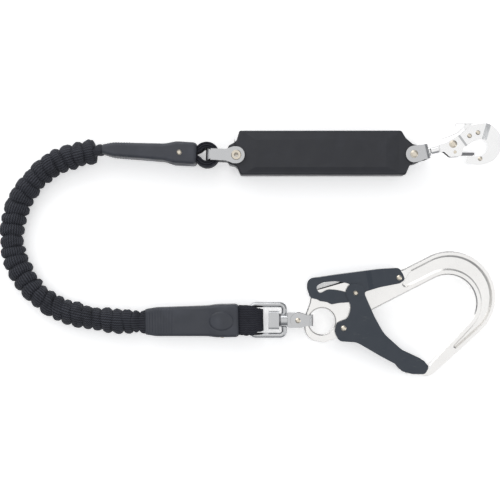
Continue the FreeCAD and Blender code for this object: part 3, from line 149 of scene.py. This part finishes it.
class Surface:
    """A procedural material: one shader with detail fed from the piece's own coordinates."""

    def __init__(self, name, color, **fixed):
        self.material = bpy.data.materials.new(name)
        self.material.use_nodes = True
        self.tree = self.material.node_tree
        self.shader = self.tree.nodes["Principled BSDF"]
        self.color = (*color, 1.0)
        self.shader.inputs["Base Color"].default_value = self.color
        for socket, value in fixed.items():
            self.shader.inputs[socket.replace("_", " ")].default_value = value
        self.place = self.add("TexCoord").outputs["Object"]
        self.normal = None

    def add(self, kind, **settings):
        """A new shader node with those settings."""
        node = self.tree.nodes.new("ShaderNode" + kind)
        for key, value in settings.items():
            setattr(node, key, value)
        return node

    def feed(self, node, socket, value):
        """A node's input from another node's output or from a plain value."""
        if isinstance(value, bpy.types.NodeSocket):
            self.tree.links.new(value, node.inputs[socket])
        else:
            node.inputs[socket].default_value = value

    def math(self, operation, first, second=0.0):
        """The output of one arithmetic node."""
        node = self.add("Math", operation=operation)
        self.feed(node, 0, first)
        self.feed(node, 1, second)
        return node.outputs[0]

    def noise(self, scale, detail=3.0, stretch=None):
        """Noise of that many cycles per metre, stretched if three factors are given."""
        node = self.add("TexNoise")
        place = self.place
        if stretch:
            mapping = self.add("Mapping")
            self.feed(mapping, "Vector", place)
            self.feed(mapping, "Scale", stretch)
            place = mapping.outputs[0]
        self.feed(node, "Vector", place)
        self.feed(node, "Scale", scale)
        self.feed(node, "Detail", detail)
        return node.outputs["Fac"]

    def between(self, value, low, high, to_low, to_high):
        """value taken from one range to another, held at its ends."""
        node = self.add("MapRange")
        for socket, number in zip(("From Min", "From Max", "To Min", "To Max"),
                                  (low, high, to_low, to_high)):
            self.feed(node, socket, number)
        self.feed(node, "Value", value)
        return node.outputs[0]

    def rough(self, value, low, high):
        """Roughness that wanders between low and high with value."""
        self.feed(self.shader, "Roughness", self.between(value, 0.35, 0.65, low, high))
        return self

    def tint(self, value, other, low=0.35, high=0.65):
        """The colour turns to the other one as value goes from low to high."""
        node = self.add("Mix", data_type="RGBA")
        self.feed(node, "Factor", self.between(value, low, high, 0.0, 1.0))
        base = self.shader.inputs["Base Color"]
        if base.is_linked:
            self.feed(node, 6, base.links[0].from_socket)
        else:
            self.feed(node, 6, self.color)
        self.feed(node, 7, (*other, 1.0))
        self.feed(self.shader, "Base Color", node.outputs[2])
        return self

    def bump(self, height, distance, strength=1.0):
        """Relief of that many metres, added to what is already there."""
        node = self.add("Bump")
        self.feed(node, "Height", height)
        self.feed(node, "Distance", distance)
        self.feed(node, "Strength", strength)
        if self.normal:
            self.feed(node, "Normal", self.normal)
        self.normal = node.outputs[0]
        self.feed(self.shader, "Normal", self.normal)
        return self

    def weave(self, across, along):
        """Height of a woven cloth whose threads pass over and under, from its own lengths."""
        cloth = self.add("UVMap", uv_map="cloth").outputs[0]
        split = self.add("SeparateXYZ")
        self.feed(split, 0, cloth)
        wobble = self.math("MULTIPLY", self.noise(220.0, 2.0), 1.6)
        turns_across = self.math("MULTIPLY", split.outputs[0], 2 * math.pi / across)
        u = self.math("ADD", turns_across, wobble)
        turns_along = self.math("MULTIPLY", split.outputs[1], 2 * math.pi / along)
        v = self.math("ADD", turns_along, wobble)
        over = self.math("MULTIPLY", self.math("SINE", u), self.math("SINE", v))
        rib = self.math("ABSOLUTE", self.math("SINE", self.math("MULTIPLY", u, 0.5)))
        return self.math("ADD", self.math("MULTIPLY", over, 0.35), self.math("MULTIPLY", rib, 0.5))


def metal(name, color, rough, grain, **fixed):
    """Plated or forged metal: uneven gloss, fine grain, faint scratches and dull patches."""
    surface = Surface(name, color, Metallic=1.0, **fixed)
    surface.rough(surface.noise(70.0, 5.0), rough[0], rough[1])
    dull = tuple(0.93 * part for part in color)
    surface.tint(surface.noise(16.0, 3.0), dull, 0.45, 0.8)
    surface.bump(surface.noise(1400.0, 2.0), grain)
    scratch = surface.noise(260.0, 3.0, (1.0, 14.0, 3.0))
    surface.bump(surface.between(scratch, 0.62, 0.72, 0.0, 1.0), 0.4 * grain, 0.6)
    return surface.material


def woven(name, color, light, across, along, relief):
    """Cloth with threads at those spacings, with a painted highlight on top of them and painted shade between
    them, and dull in patches.
    """
    surface = Surface(name, color, Specular_IOR_Level=0.3)
    height = surface.weave(across, along)
    # Painted highlight and shade: the colour turns to the lighter one on the threads' tops and stays darker in the
    # hollows between them.
    surface.tint(height, light, 0.15, 0.95)
    surface.tint(surface.noise(55.0, 5.0), tuple(0.7 * part for part in color), 0.55, 0.85)
    surface.rough(surface.noise(300.0, 2.0), 0.72, 0.9)
    surface.bump(height, relief)
    surface.bump(surface.noise(1900.0, 2.0), 0.3 * relief)
    return surface.material


def moulded(name, color, rough, grain, grain_scale):
    """Moulded rubber or PVC with a fine pebbled face and slightly worn, paler patches."""
    surface = Surface(name, color)
    surface.rough(surface.noise(60.0, 4.0), rough[0], rough[1])
    surface.tint(surface.noise(45.0, 6.0), tuple(1.5 * part for part in color), 0.5, 0.85)
    surface.bump(surface.noise(grain_scale, 2.0), grain)
    surface.bump(surface.noise(90.0, 2.0), 6 * grain, 0.25)
    return surface.material


ALUMINIUM = metal("forged_aluminium", (0.92, 0.91, 0.895), (0.22, 0.3), 0.004 * MM)
BRIGHT = metal("bright_plating", (0.9, 0.9, 0.9), (0.15, 0.22), 0.004 * MM)
PLATED = metal("plated_steel", (0.55, 0.555, 0.565), (0.18, 0.3), 0.01 * MM)
DARK_STEEL = metal("dark_steel", (0.2, 0.2, 0.21), (0.32, 0.45), 0.02 * MM)
RIVET = metal("rivet_steel", (0.72, 0.66, 0.56), (0.22, 0.35), 0.01 * MM)
SPRING = metal("spring_steel", (0.45, 0.45, 0.47), (0.25, 0.4), 0.01 * MM)
# Each cloth's second colour is the painted highlight on its thread tops.
BELLOWS_CLOTH = woven("bellows_fabric", (0.01, 0.011, 0.0145), (0.1, 0.105, 0.13),
                      3.1 * MM, 2.7 * MM, 0.3 * MM)
WEBBING = woven("webbing", (0.012, 0.0125, 0.018), (0.05, 0.052, 0.068),
                2.3 * MM, 1.9 * MM, 0.2 * MM)
PACK_CLOTH = woven("pack_webbing", (0.02, 0.02, 0.024), (0.05, 0.05, 0.056),
                   2.0 * MM, 1.6 * MM, 0.2 * MM)
SLEEVE = moulded("sleeve_rubber", (0.043, 0.047, 0.06), (0.42, 0.55), 0.05 * MM, 1500.0)
COVER = moulded("cover_rubber", (0.0165, 0.018, 0.0245), (0.4, 0.5), 0.04 * MM, 1700.0)


def coated():
    """Dark coated sheet: fine orange peel, faint rubs."""
    surface = Surface("coated_steel", (0.021, 0.031, 0.047), Specular_IOR_Level=0.6)
    surface.rough(surface.noise(80.0, 5.0), 0.34, 0.46)
    surface.tint(surface.noise(120.0, 6.0, (1.0, 3.0, 1.0)), (0.05, 0.058, 0.068), 0.62, 0.85)
    surface.bump(surface.noise(1100.0, 2.0), 0.03 * MM)
    return surface.material


COATED = coated()

FINISHES = {
    "forged_aluminium": ALUMINIUM, "plated_steel": PLATED, "dark_steel": DARK_STEEL,
    "rivet_steel": RIVET, "spring_steel": SPRING, "sleeve_rubber": SLEEVE,
    "cover_rubber": COVER, "coated_steel": COATED, "webbing": WEBBING, "pack_webbing": PACK_CLOTH,
    "bellows_fabric": BELLOWS_CLOTH, "elastic": WEBBING, "stitching": PACK_CLOTH,
}
for subpart in frame["record"]["subparts"]:
    node = NODES[subpart["node"]]
    node.data.materials.clear()
    finish = FINISHES[subpart["material_slot"]]
    if finish is PLATED and subpart["node"].startswith("snap_"):
        finish = BRIGHT
    node.data.materials.append(finish)


# ---- Gathered webbing leg ----------------------------------------------------------------------

ROUTE = [
    (-0.1958, -0.0897, 0.0159), (-0.2280, -0.0896, 0.0152), (-0.2678, -0.0848, 0.0145),
    (-0.3082, -0.0738, 0.0145), (-0.3414, -0.0469, 0.0145), (-0.3611, -0.0092, 0.0145),
    (-0.3634, 0.0333, 0.0145), (-0.3486, 0.0728, 0.0152), (-0.3202, 0.1026, 0.0168),
    (-0.2844, 0.1198, 0.0190), (-0.2475, 0.1250, 0.0209),
]
LEG_RADIUS = 14.5 * MM
LEG_TUCK = 5 * MM
LEG_ROWS, LEG_COLUMNS = 860, 150
LEG_FOLDS = 28
LEG_WRINKLES = 26


def route_line(points):
    """The route's centreline, read from a NURBS spline with those control points."""
    curve = bpy.data.curves.new("leg_route", "CURVE")
    curve.dimensions = "3D"
    curve.resolution_u = 24
    spline = curve.splines.new("NURBS")
    spline.points.add(len(points) - 1)
    for knot, point in zip(spline.points, points):
        knot.co = (*point, 1.0)
    spline.order_u = 3
    spline.use_endpoint_u = True
    holder = bpy.data.objects.new("leg_route", curve)
    scene.collection.objects.link(holder)
    mesh = bpy.data.meshes.new_from_object(holder)
    line = np.array([vertex.co for vertex in mesh.vertices])
    bpy.data.objects.remove(holder)
    bpy.data.meshes.remove(mesh)
    return line


leg_line = route_line(ROUTE)
leg_steps = np.linalg.norm(np.diff(leg_line, axis=0), axis=1)
leg_reach = np.concatenate([[0.0], np.cumsum(leg_steps)])
LEG_LENGTH = float(leg_reach[-1])


def leg_points(s):
    """Points of the centreline at distances s along the leg."""
    return np.stack([np.interp(s, leg_reach, leg_line[:, i]) for i in range(3)], 1)


def leg_places(s):
    """Points, and the directions sideways and up, at distances s along the leg."""
    inside = np.clip(s, 0, LEG_LENGTH)
    place = leg_points(inside)
    back = np.clip(inside - 3 * MM, 0, LEG_LENGTH)
    front = np.clip(inside + 3 * MM, 0, LEG_LENGTH)
    along = leg_points(front) - leg_points(back)
    along /= np.linalg.norm(along, axis=1)[:, None]
    place += along * (s - inside)[:, None]
    side = np.cross(along, (0.0, 0.0, 1.0))
    side /= np.linalg.norm(side, axis=1)[:, None]
    return place, side, np.cross(side, along)


def fold_edges(rng):
    """Distances of the folds' edges along the leg, with a plain collar at each end."""
    first, last = 15 * MM, LEG_LENGTH - 9.5 * MM
    gaps = rng.uniform(0.86, 1.14, LEG_FOLDS)
    edges = first + np.concatenate([[0], np.cumsum(gaps)]) * (last - first) / gaps.sum()
    return np.concatenate([[-LEG_TUCK - 6 * MM, 6.5 * MM], edges,
                           [LEG_LENGTH + LEG_TUCK + 2 * MM]])


def fold_shapes(rng, edges, angle):
    """Each edge's lean along the leg, the depth of its groove and its fold's swell, by angle."""
    count = len(edges)
    sideways = np.cos(angle)
    warp = np.zeros((count, len(angle)))
    depth = np.zeros((count, len(angle)))
    for k in range(count):
        share = edges[k] / LEG_LENGTH
        lean = 3.6 * MM * max(0.0, 1 - abs(share - 0.26) / 0.26)
        lean += rng.uniform(-0.9, 0.9) * MM
        warp[k] = lean * sideways
        for wave, size in ((1, 0.8), (2, 1.1), (3, 0.6), (5, 0.25)):
            strength = size * MM * rng.uniform(0.4, 1)
            warp[k] += strength * np.sin(wave * angle + rng.uniform(0, 2 * math.pi))
        crown = 0.7 if share < 0.36 else 0.86
        flow = crown + (1 - crown) * np.cos(2 * angle + rng.uniform(-0.5, 0.5))
        flow += 0.1 * np.sin(3 * angle + rng.uniform(0, 2 * math.pi))
        # Near the top of the bend the grooves are shallow on one side.
        shallow = 0.5 if 0.66 < share < 0.86 else 1.0
        outside = 1 - (1 - shallow) * np.clip(-sideways, 0, 1)
        depth[k] = np.clip(flow, 0.35, 1.05) * outside
    for k in (0, 1, count - 1):
        warp[k] *= 0.2
    swell = 1 + 0.05 * rng.uniform(-1, 1, (count, 1))
    swell = swell + 0.045 * np.sin(angle[None] * 2 + rng.uniform(0, 6.3, (count, 1)))
    swell += 0.03 * np.sin(angle[None] * 3 + rng.uniform(0, 6.3, (count, 1)))
    return warp, depth, swell


def gathered_radius(rng, s, angle):
    """The leg's radius as a factor: rounded lumps between the folds' edges, with fine wrinkles."""
    edges = fold_edges(rng)
    warp, depth, swell = fold_shapes(rng, edges, angle)
    radius = np.ones((len(s), len(angle)))
    for column in range(len(angle)):
        borders = edges + warp[:, column]
        k = np.clip(np.searchsorted(borders, s) - 1, 0, len(edges) - 2)
        u = np.clip((s - borders[k]) / (borders[k + 1] - borders[k]), 0, 1)
        lump = np.sqrt(np.clip(1 - np.abs(2 * u - 1) ** 2.1, 0, 1))
        near = depth[k, column] * (1 - u) + depth[k + 1, column] * u
        tall = swell[k, column]
        radius[:, column] = tall * (1.05 - 0.36 * near * (1 - lump))
    wrinkle = np.zeros((len(s), len(angle)))
    for _ in range(LEG_WRINKLES):
        turns = rng.integers(1, 9)
        pitch = rng.uniform(3.5, 11) * MM
        wrinkle += rng.uniform(0.3, 1) * np.sin(
            turns * angle[None] + 2 * math.pi * s[:, None] / pitch + rng.uniform(0, 2 * math.pi))
    return radius + 0.0042 * wrinkle


def leg_ends(s):
    """Factors of the leg's width and height, and how flat it is, where it enters the sleeves.

    It is level at the lower sleeve and on edge at the upper one.
    """
    lower = ease((s - 1 * MM) / (17 * MM))
    upper = ease((LEG_LENGTH - 8.5 * MM - s) / (3 * MM))
    knob = np.clip((LEG_LENGTH + 1 * MM - s) / (3 * MM), 0, 1)
    wide = (0.9 + 0.1 * lower) * (0.36 + 0.14 * knob + 0.5 * upper)
    high = (0.24 + 0.76 * lower) * (0.86 + 0.14 * upper)
    return wide, high, 1 - np.minimum(lower, upper)


def gathered_leg():
    """The tubular webbing, gathered into knobby folds over its elastic."""
    s = np.linspace(-LEG_TUCK, LEG_LENGTH + LEG_TUCK, LEG_ROWS)
    angle = np.linspace(0, 2 * math.pi, LEG_COLUMNS, endpoint=False)
    radius = gathered_radius(np.random.default_rng(11), s, angle)
    wide, high, flatness = leg_ends(s)
    place, side, up = leg_places(s)
    power = 1 + 0.45 * flatness[:, None]
    cos, sin = np.cos(angle)[None], np.sin(angle)[None]
    ring = (np.abs(cos) ** (2 * power) + np.abs(sin) ** (2 * power)) ** (-1 / (2 * power))
    x = LEG_RADIUS * radius * ring * cos * wide[:, None]
    z = LEG_RADIUS * radius * ring * sin * high[:, None]
    rings = place[:, None] + side[:, None] * x[..., None] + up[:, None] * z[..., None]
    rings[..., 2] = np.maximum(rings[..., 2], 0.3 * MM)

    uv = np.zeros((LEG_ROWS, LEG_COLUMNS + 1, 2))
    uv[..., 0] = np.linspace(0, 2 * math.pi * LEG_RADIUS, LEG_COLUMNS + 1)[None]
    uv[..., 1] = 1.25 * s[:, None]
    leg = skin("gathered_leg", rings, "lanyard", BELLOWS_CLOTH, uv)
    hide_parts("bellows_webbing", "elastic_core")


gathered_leg()


# ---- Moulded sleeves and webbing eyes ----------------------------------------------------------

SLEEVE_LENGTH = 117 * MM
SLEEVE_LIP = 1.4 * MM
SLEEVE_ROWS = 300
RIBS_START, RIBS_END = 2.4 * MM, 38 * MM
RIB_PITCH = 3.4 * MM
RIB_HEIGHT = 0.42 * MM
OVAL_PLACE = 95.5 * MM
OVAL_LENGTH, OVAL_WIDTH = 15.2 * MM, 11.4 * MM
OVAL_RISE, OVAL_GROOVE = 0.85 * MM, 0.3 * MM
LOOP_REACH = 12.5 * MM


def joint_place(name):
    """Where that joint of the CAD model is."""
    return next(joint["pos_m"] for joint in frame["joints"] if joint["name"] == name)


LOWER_EYE = (Matrix.Translation(joint_place("ring_swing"))
             @ Matrix.Rotation(math.radians(1.0), 4, "Z"))
UPPER_EYE = (Matrix.Translation(joint_place("left_link_swing"))
             @ Matrix.Rotation(math.radians(-3.0), 4, "Z")
             @ Matrix.Rotation(math.radians(-90.0), 4, "X"))
TO_MOUTH = Matrix.Translation((-(SLEEVE_LENGTH + LOOP_REACH), 0, 0))

# Distance from the mouth, half width and half thickness.
SLEEVE_STATIONS = np.array([
    (0.0, 15.9, 5.6), (14.0, 18.0, 8.6), (78.0, 19.0, 10.6),
    (90.0, 20.5, 13.6), (110.0, 20.5, 13.75), (117.0, 20.5, 13.75)]) * MM


def moved(points, matrix):
    """Points taken by a matrix."""
    a = np.array(matrix)
    return points @ a[:3, :3].T + a[:3, 3]


def rounded_ring(half_width, half_height, corner, long_steps=60, short_steps=26, turn_steps=9):
    """Points round a rounded rectangle and their outward directions, always the same number."""
    points, outward = [], []
    x, y = half_width - corner, half_height - corner
    sides = [((x, half_height), (-x, half_height), (0, 1), long_steps),
             ((-half_width, y), (-half_width, -y), (-1, 0), short_steps),
             ((-x, -half_height), (x, -half_height), (0, -1), long_steps),
             ((half_width, -y), (half_width, y), (1, 0), short_steps)]
    middles = [(-x, y), (-x, -y), (x, -y), (x, y)]
    for index, (start, end, out, steps) in enumerate(sides):
        share = np.linspace(0, 1, steps)[:, None]
        points.append(np.array(start) * (1 - share) + np.array(end) * share)
        outward.append(np.tile(out, (steps, 1)).astype(float))
        turn = math.radians(90 + 90 * index) + np.linspace(0, math.pi / 2, turn_steps + 2)[1:-1]
        arrow = np.stack([np.cos(turn), np.sin(turn)], 1)
        points.append(np.array(middles[index]) + corner * arrow)
        outward.append(arrow)
    return np.vstack(points), np.vstack(outward)


def sleeve_relief(distance, points, outward):
    """Height of the grip's ribs and of the raised oval at the points of one ring."""
    ribbed = np.clip((distance - RIBS_START) / (2 * MM), 0, 1)
    ribbed = ribbed * np.clip((RIBS_END - distance) / (2 * MM), 0, 1)
    rib = RIB_HEIGHT * ribbed * max(0.0, math.cos(2 * math.pi * distance / RIB_PITCH)) ** 0.7
    relief = rib * (0.3 + 0.7 * outward[:, 1] ** 2)
    far = np.hypot((distance - OVAL_PLACE) / OVAL_LENGTH, points[:, 0] / OVAL_WIDTH)
    oval = ease((1.0 - far) / 0.1)
    groove = np.exp(-(((far - 1.06) / 0.05) ** 2))
    broad = np.abs(outward[:, 1]) > 0.9
    return relief + np.where(broad, OVAL_RISE * oval - OVAL_GROOVE * groove, 0)


def hollow_ring(distance, half_width, half_height):
    """One ring of the inner wall at a sleeve's end."""
    points, _ = rounded_ring(half_width, half_height, 2.6 * MM)
    return np.column_stack([np.full(len(points), distance), points])


def moulded_sleeve(name, node, eye):
    """The cover over the sewn end: ribbed grip, raised oval on its broad faces, rolled lips."""
    t = np.linspace(0, SLEEVE_LENGTH, SLEEVE_ROWS)
    fine = np.linspace(0, SLEEVE_LENGTH, 1171)
    window = np.ones(61) / 61
    half = []
    for column in (1, 2):
        raw = np.interp(fine, SLEEVE_STATIONS[:, 0], SLEEVE_STATIONS[:, column])
        padded = np.pad(raw, 30, mode="reflect", reflect_type="odd")
        half.append(np.interp(t, fine, np.convolve(padded, window, mode="valid")))
    end_round = np.clip((t - (SLEEVE_LENGTH - 5 * MM)) / (5 * MM), 0, 1)
    end_pull = 3.6 * MM * (1 - np.sqrt(1 - 0.96 * end_round ** 2))
    start_round = np.clip(1 - t / SLEEVE_LIP, 0, 1)
    start_pull = 0.9 * SLEEVE_LIP * (1 - np.sqrt(np.clip(1 - start_round ** 2, 0, 1)))
    rings = []
    for i, distance in enumerate(t):
        pull = end_pull[i] + start_pull[i]
        points, outward = rounded_ring(half[0][i] - pull, half[1][i] - pull, 4.4 * MM)
        points = points + outward * sleeve_relief(distance, points, outward)[:, None]
        rings.append(np.column_stack([np.full(len(points), distance), points]))

    # The hollow at each end: the lip turns in and runs back along a thinner inner wall.
    mouth_width = half[0][0] - 0.9 * SLEEVE_LIP
    mouth_height = half[1][0] - 0.9 * SLEEVE_LIP
    front = [hollow_ring(inside * MM, mouth_width - width * MM, mouth_height - height * MM)
             for inside, width, height in ((8, 1.7, 1.2), (0.6, 1.1, 0.8), (0, 0.6, 0.5))]
    end_width, end_height = half[0][-1] - end_pull[-1], half[1][-1] - end_pull[-1]
    rear = [hollow_ring(SLEEVE_LENGTH - inside * MM, end_width - width * MM,
                        end_height - height * MM)
            for inside, width, height in ((0, 0.9, 2.0), (0.5, 1.3, 2.5), (9, 1.6, 3.0))]
    rings = moved(np.array(front + rings + rear), eye @ TO_MOUTH)
    sleeve = skin(name, rings, "lanyard", SLEEVE)
    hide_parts(node)


moulded_sleeve("lower_sleeve_cover", "lower_sleeve", LOWER_EYE)
moulded_sleeve("upper_sleeve_cover", "upper_sleeve", UPPER_EYE)


def soft_corners(points, rounds=3):
    """A polyline with its corners cut away, its ends kept."""
    points = np.asarray(points, float)
    for _ in range(rounds):
        near = 0.75 * points[:-1] + 0.25 * points[1:]
        far = 0.25 * points[:-1] + 0.75 * points[1:]
        middle = np.stack([near, far], 1).reshape(-1, 2)
        points = np.vstack([points[:1], middle[1:-1], points[-1:]])
    return points


def resampled(points, step):
    """A polyline with evenly spaced points, and their distances along it."""
    reach = np.concatenate([[0], np.cumsum(np.linalg.norm(np.diff(points, axis=0), axis=1))])
    at = np.linspace(0, reach[-1], max(8, int(reach[-1] / step)))
    return np.stack([np.interp(at, reach, points[:, i]) for i in range(points.shape[1])], 1), at


def webbing_band(name, path, width, thickness, matrix, body, seed, ruffle, surface=WEBBING,
                 flare=None):
    """A strap of webbing along a path in its own X and Z, with rounded edges and a slight ruffle.

    flare gives the width's factor at each point of the path.
    """
    rng = np.random.default_rng(seed)
    line, reach = resampled(path, 0.7 * MM)
    count = len(line)
    along = np.gradient(line, axis=0)
    along /= np.linalg.norm(along, axis=1)[:, None]
    out = np.stack([along[:, 1], -along[:, 0]], 1)
    section, _ = rounded_ring(width / 2, thickness / 2, 0.45 * thickness, 34, 3, 4)
    left = ruffle * smooth_noise(rng, count, 5 * MM, reach[-1])
    right = ruffle * smooth_noise(rng, count, 6 * MM, reach[-1])
    buckle = 0.5 * ruffle * smooth_noise(rng, count, 8 * MM, reach[-1])
    across = section[:, 0] / (width / 2)
    rings = np.zeros((count, len(section), 3))
    waver = np.where(across[None] > 0, left[:, None], right[:, None])
    y = section[None, :, 0] + waver * across[None] ** 2
    if flare is not None:
        y = y * flare(line)[:, None]
    lift = section[None, :, 1] + buckle[:, None] * np.cos(2.2 * across[None])
    rings[..., 0] = line[:, None, 0] + out[:, None, 0] * lift
    rings[..., 1] = y
    rings[..., 2] = line[:, None, 1] + out[:, None, 1] * lift
    around = np.linalg.norm(np.diff(np.vstack([section, section[:1]]), axis=0), axis=1)
    uv = np.zeros((count, len(section) + 1, 2))
    uv[..., 0] = np.concatenate([[0], np.cumsum(around)])[None]
    uv[..., 1] = reach[:, None]
    return skin(name, moved(rings, matrix), body, surface, uv)


EYE_WIDTH = 30 * MM
PLY_THICKNESS = 2.5 * MM
LOWER_STRETCH = 1.18
# Each ply's radius, its level in the sleeve and how far round it turns, from the inside out.
EYE_PLIES = ((8.95, 1.4, 148.0), (11.7, 4.1, 144.0), (14.5, 6.9, 139.0))


def spread_eye(line):
    """Factor of the lower eye's width.

    It is full above and below the ring, and narrower where the ring's bars swing past it and
    inside the sleeve.
    """
    rise = np.degrees(np.arctan2(np.abs(line[:, 1]), line[:, 0] / LOWER_STRETCH))
    clear = np.clip((rise - 52) / 14, 0, 1)
    outside = np.clip((line[:, 0] + 14.5 * MM) / (2.5 * MM), 0, 1)
    return 0.965 + 0.245 * clear * outside


def webbing_eye(name, nodes, eye, seed, stretch=1.0, ruffle=0.45 * MM, flare=None):
    """The sewn eye: three plies from the sleeve's end round the fitting and back."""
    for index, (radius, level, turn) in enumerate(EYE_PLIES):
        angles = np.radians(np.linspace(-turn, turn, 60))
        arc = np.stack([radius * MM * np.cos(angles), radius * MM * np.sin(angles)], 1)
        arc[:, 0] *= np.where(arc[:, 0] > 0, stretch, 1.0)
        lead = np.array([(-26.0, -level), (-14.0, -level)]) * MM
        tail = lead[::-1] * (1, -1)
        path = soft_corners(np.vstack([lead, arc, tail]), 3)
        ply = webbing_band(name + "_ply" + str(index + 1), path, EYE_WIDTH - 0.6 * index * MM,
                           PLY_THICKNESS, eye, "lanyard", seed + index, ruffle, flare=flare)
    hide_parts(*nodes)


webbing_eye("lower_eye", ["lower_strap_loop", "lower_splice"], LOWER_EYE, 5, LOWER_STRETCH,
            0.9 * MM, spread_eye)
webbing_eye("upper_eye", ["upper_strap_loop", "upper_splice"], UPPER_EYE, 15)


# ---- Tear webbing inside the absorber's cover --------------------------------------------------


def absorber_webbing():
    """The folded tear webbing and its two sewn eyes, on edge inside the cover."""
    box_low, box_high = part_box("tear_webbing_pack")
    level = (box_low.z + box_high.z) / 2
    # The band's own X and Z are the plan's X and Y, and its width is upright.
    upright = Matrix(((1, 0, 0, 0), (0, 0, 1, 0), (0, -1, 0, 0), (0, 0, 0, 1)))
    stand = Matrix.Translation((0, 0, level)) @ upright
    width = box_high.z - box_low.z
    layers = 8
    pitch = (box_high.y - box_low.y) / layers
    points = []
    for layer in range(layers):
        y = box_low.y + (layer + 0.5) * pitch
        ends = [(box_low.x + 4 * MM, y), (box_high.x - 4 * MM, y)]
        points += ends if layer % 2 == 0 else ends[::-1]
    pack = webbing_band("tear_webbing", soft_corners(points, 3), width, 2.6 * MM, stand,
                        "absorber", 31, 0.3 * MM, PACK_CLOTH)
    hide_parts("tear_webbing_pack", "pack_stitching")
    for name, node, joint, inward in (
            ("left_pack_eye", "left_end_loop", "absorber_swing", 1),
            ("right_pack_eye", "right_end_loop", "right_link_swing", -1)):
        angles = np.radians(np.linspace(-145, 145, 40))
        arc = np.stack([-inward * 7.2 * MM * np.cos(angles), 7.2 * MM * np.sin(angles)], 1)
        lead = np.array([(inward * 17 * MM, -2.2 * MM)])
        tail = lead * (1, -1)
        path = np.vstack([lead, arc, tail]) + np.array(joint_place(joint)[:2])
        eye = webbing_band(name, soft_corners(path, 2), width, 2.8 * MM, stand, "absorber", 41,
                           0.2 * MM, PACK_CLOTH)
        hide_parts(node)


absorber_webbing()


# ---- Edges of the CAD pieces -------------------------------------------------------------------


def soften(node, width, segments=2, angle=34.0):
    """Small rounded edges on a CAD piece, by modifiers, after its flat faces are made whole."""
    piece = NODES[node]
    whole = piece.modifiers.new("flat_faces", "DECIMATE")
    whole.decimate_type = "DISSOLVE"
    whole.angle_limit = math.radians(0.6)
    bevel = piece.modifiers.new("edges", "BEVEL")
    bevel.limit_method = "ANGLE"
    bevel.angle_limit = math.radians(angle)
    bevel.width = width
    bevel.segments = segments
    bevel.use_clamp_overlap = False
    bevel.harden_normals = True


for node in ("cover_front_shell", "cover_rear_shell"):
    soften(node, 0.9 * MM, 3, 9.0)
for node in ("hook_gate", "hook_lever"):
    soften(node, 0.62 * MM, 3)
for node in ("left_bracket", "right_bracket", "shackle_strap", "snap_front_plate",
             "snap_rear_plate"):
    soften(node, 0.3 * MM)


# ---- Floor, light and world --------------------------------------------------------------------

FLOOR_REACH = 6

floor_surface = Surface("floor", (0.96, 0.96, 0.962), Emission_Strength=0.42)
floor_surface.shader.inputs["Emission Color"].default_value = (1, 1, 1, 1)
floor_surface.rough(floor_surface.noise(8.0), 0.82, 0.92)
floor_corners = [(-FLOOR_REACH, -FLOOR_REACH, 0), (FLOOR_REACH, -FLOOR_REACH, 0),
                 (FLOOR_REACH, FLOOR_REACH, 0), (-FLOOR_REACH, FLOOR_REACH, 0)]
floor = mesh_object("floor", floor_corners, [(0, 1, 2, 3)], None, floor_surface.material,
                    smooth=False)

object_middle = Vector((camera.location.x, 0, CHAIN_LEVEL))


def softbox(name, place, size, watts):
    """A rectangular lamp that faces the middle of the object."""
    light = bpy.data.lights.new(name, "AREA")
    light.shape = "RECTANGLE"
    light.size, light.size_y = size
    light.energy = watts
    lamp = bpy.data.objects.new(name, light)
    lamp.location = place
    lamp.rotation_mode = "QUATERNION"
    lamp.rotation_quaternion = (object_middle - Vector(place)).to_track_quat("-Z", "Y")
    scene.collection.objects.link(lamp)


softbox("key_light", (-0.85, 1.35, 0.95), (2.4, 1.4), 17.0)
softbox("fill_light", (1.5, -0.6, 0.9), (1.2, 0.9), 4.0)


def studio_world():
    """A pale room: bright overhead, greyer towards the horizon, so that metal shows its edges."""
    world = bpy.data.worlds.new("studio")
    scene.world = world
    world.use_nodes = True
    nodes, links = world.node_tree.nodes, world.node_tree.links
    direction = nodes.new("ShaderNodeTexCoord").outputs["Generated"]
    split = nodes.new("ShaderNodeSeparateXYZ")
    links.new(direction, split.inputs[0])
    ramp = nodes.new("ShaderNodeValToRGB")
    ramp.color_ramp.interpolation = "EASE"
    low, high = ramp.color_ramp.elements
    low.position, low.color = 0.05, (0.2, 0.205, 0.215, 1.0)
    high.position, high.color = 0.93, (1.0, 1.0, 1.0, 1.0)
    middle_stop = ramp.color_ramp.elements.new(0.66)
    middle_stop.color = (0.33, 0.34, 0.355, 1.0)
    links.new(split.outputs["Z"], ramp.inputs[0])
    background = nodes["Background"]
    links.new(ramp.outputs[0], background.inputs["Color"])
    background.inputs["Strength"].default_value = 1.0


studio_world()
scene.view_settings.view_transform = "Standard"

bpy.context.view_layer.update()
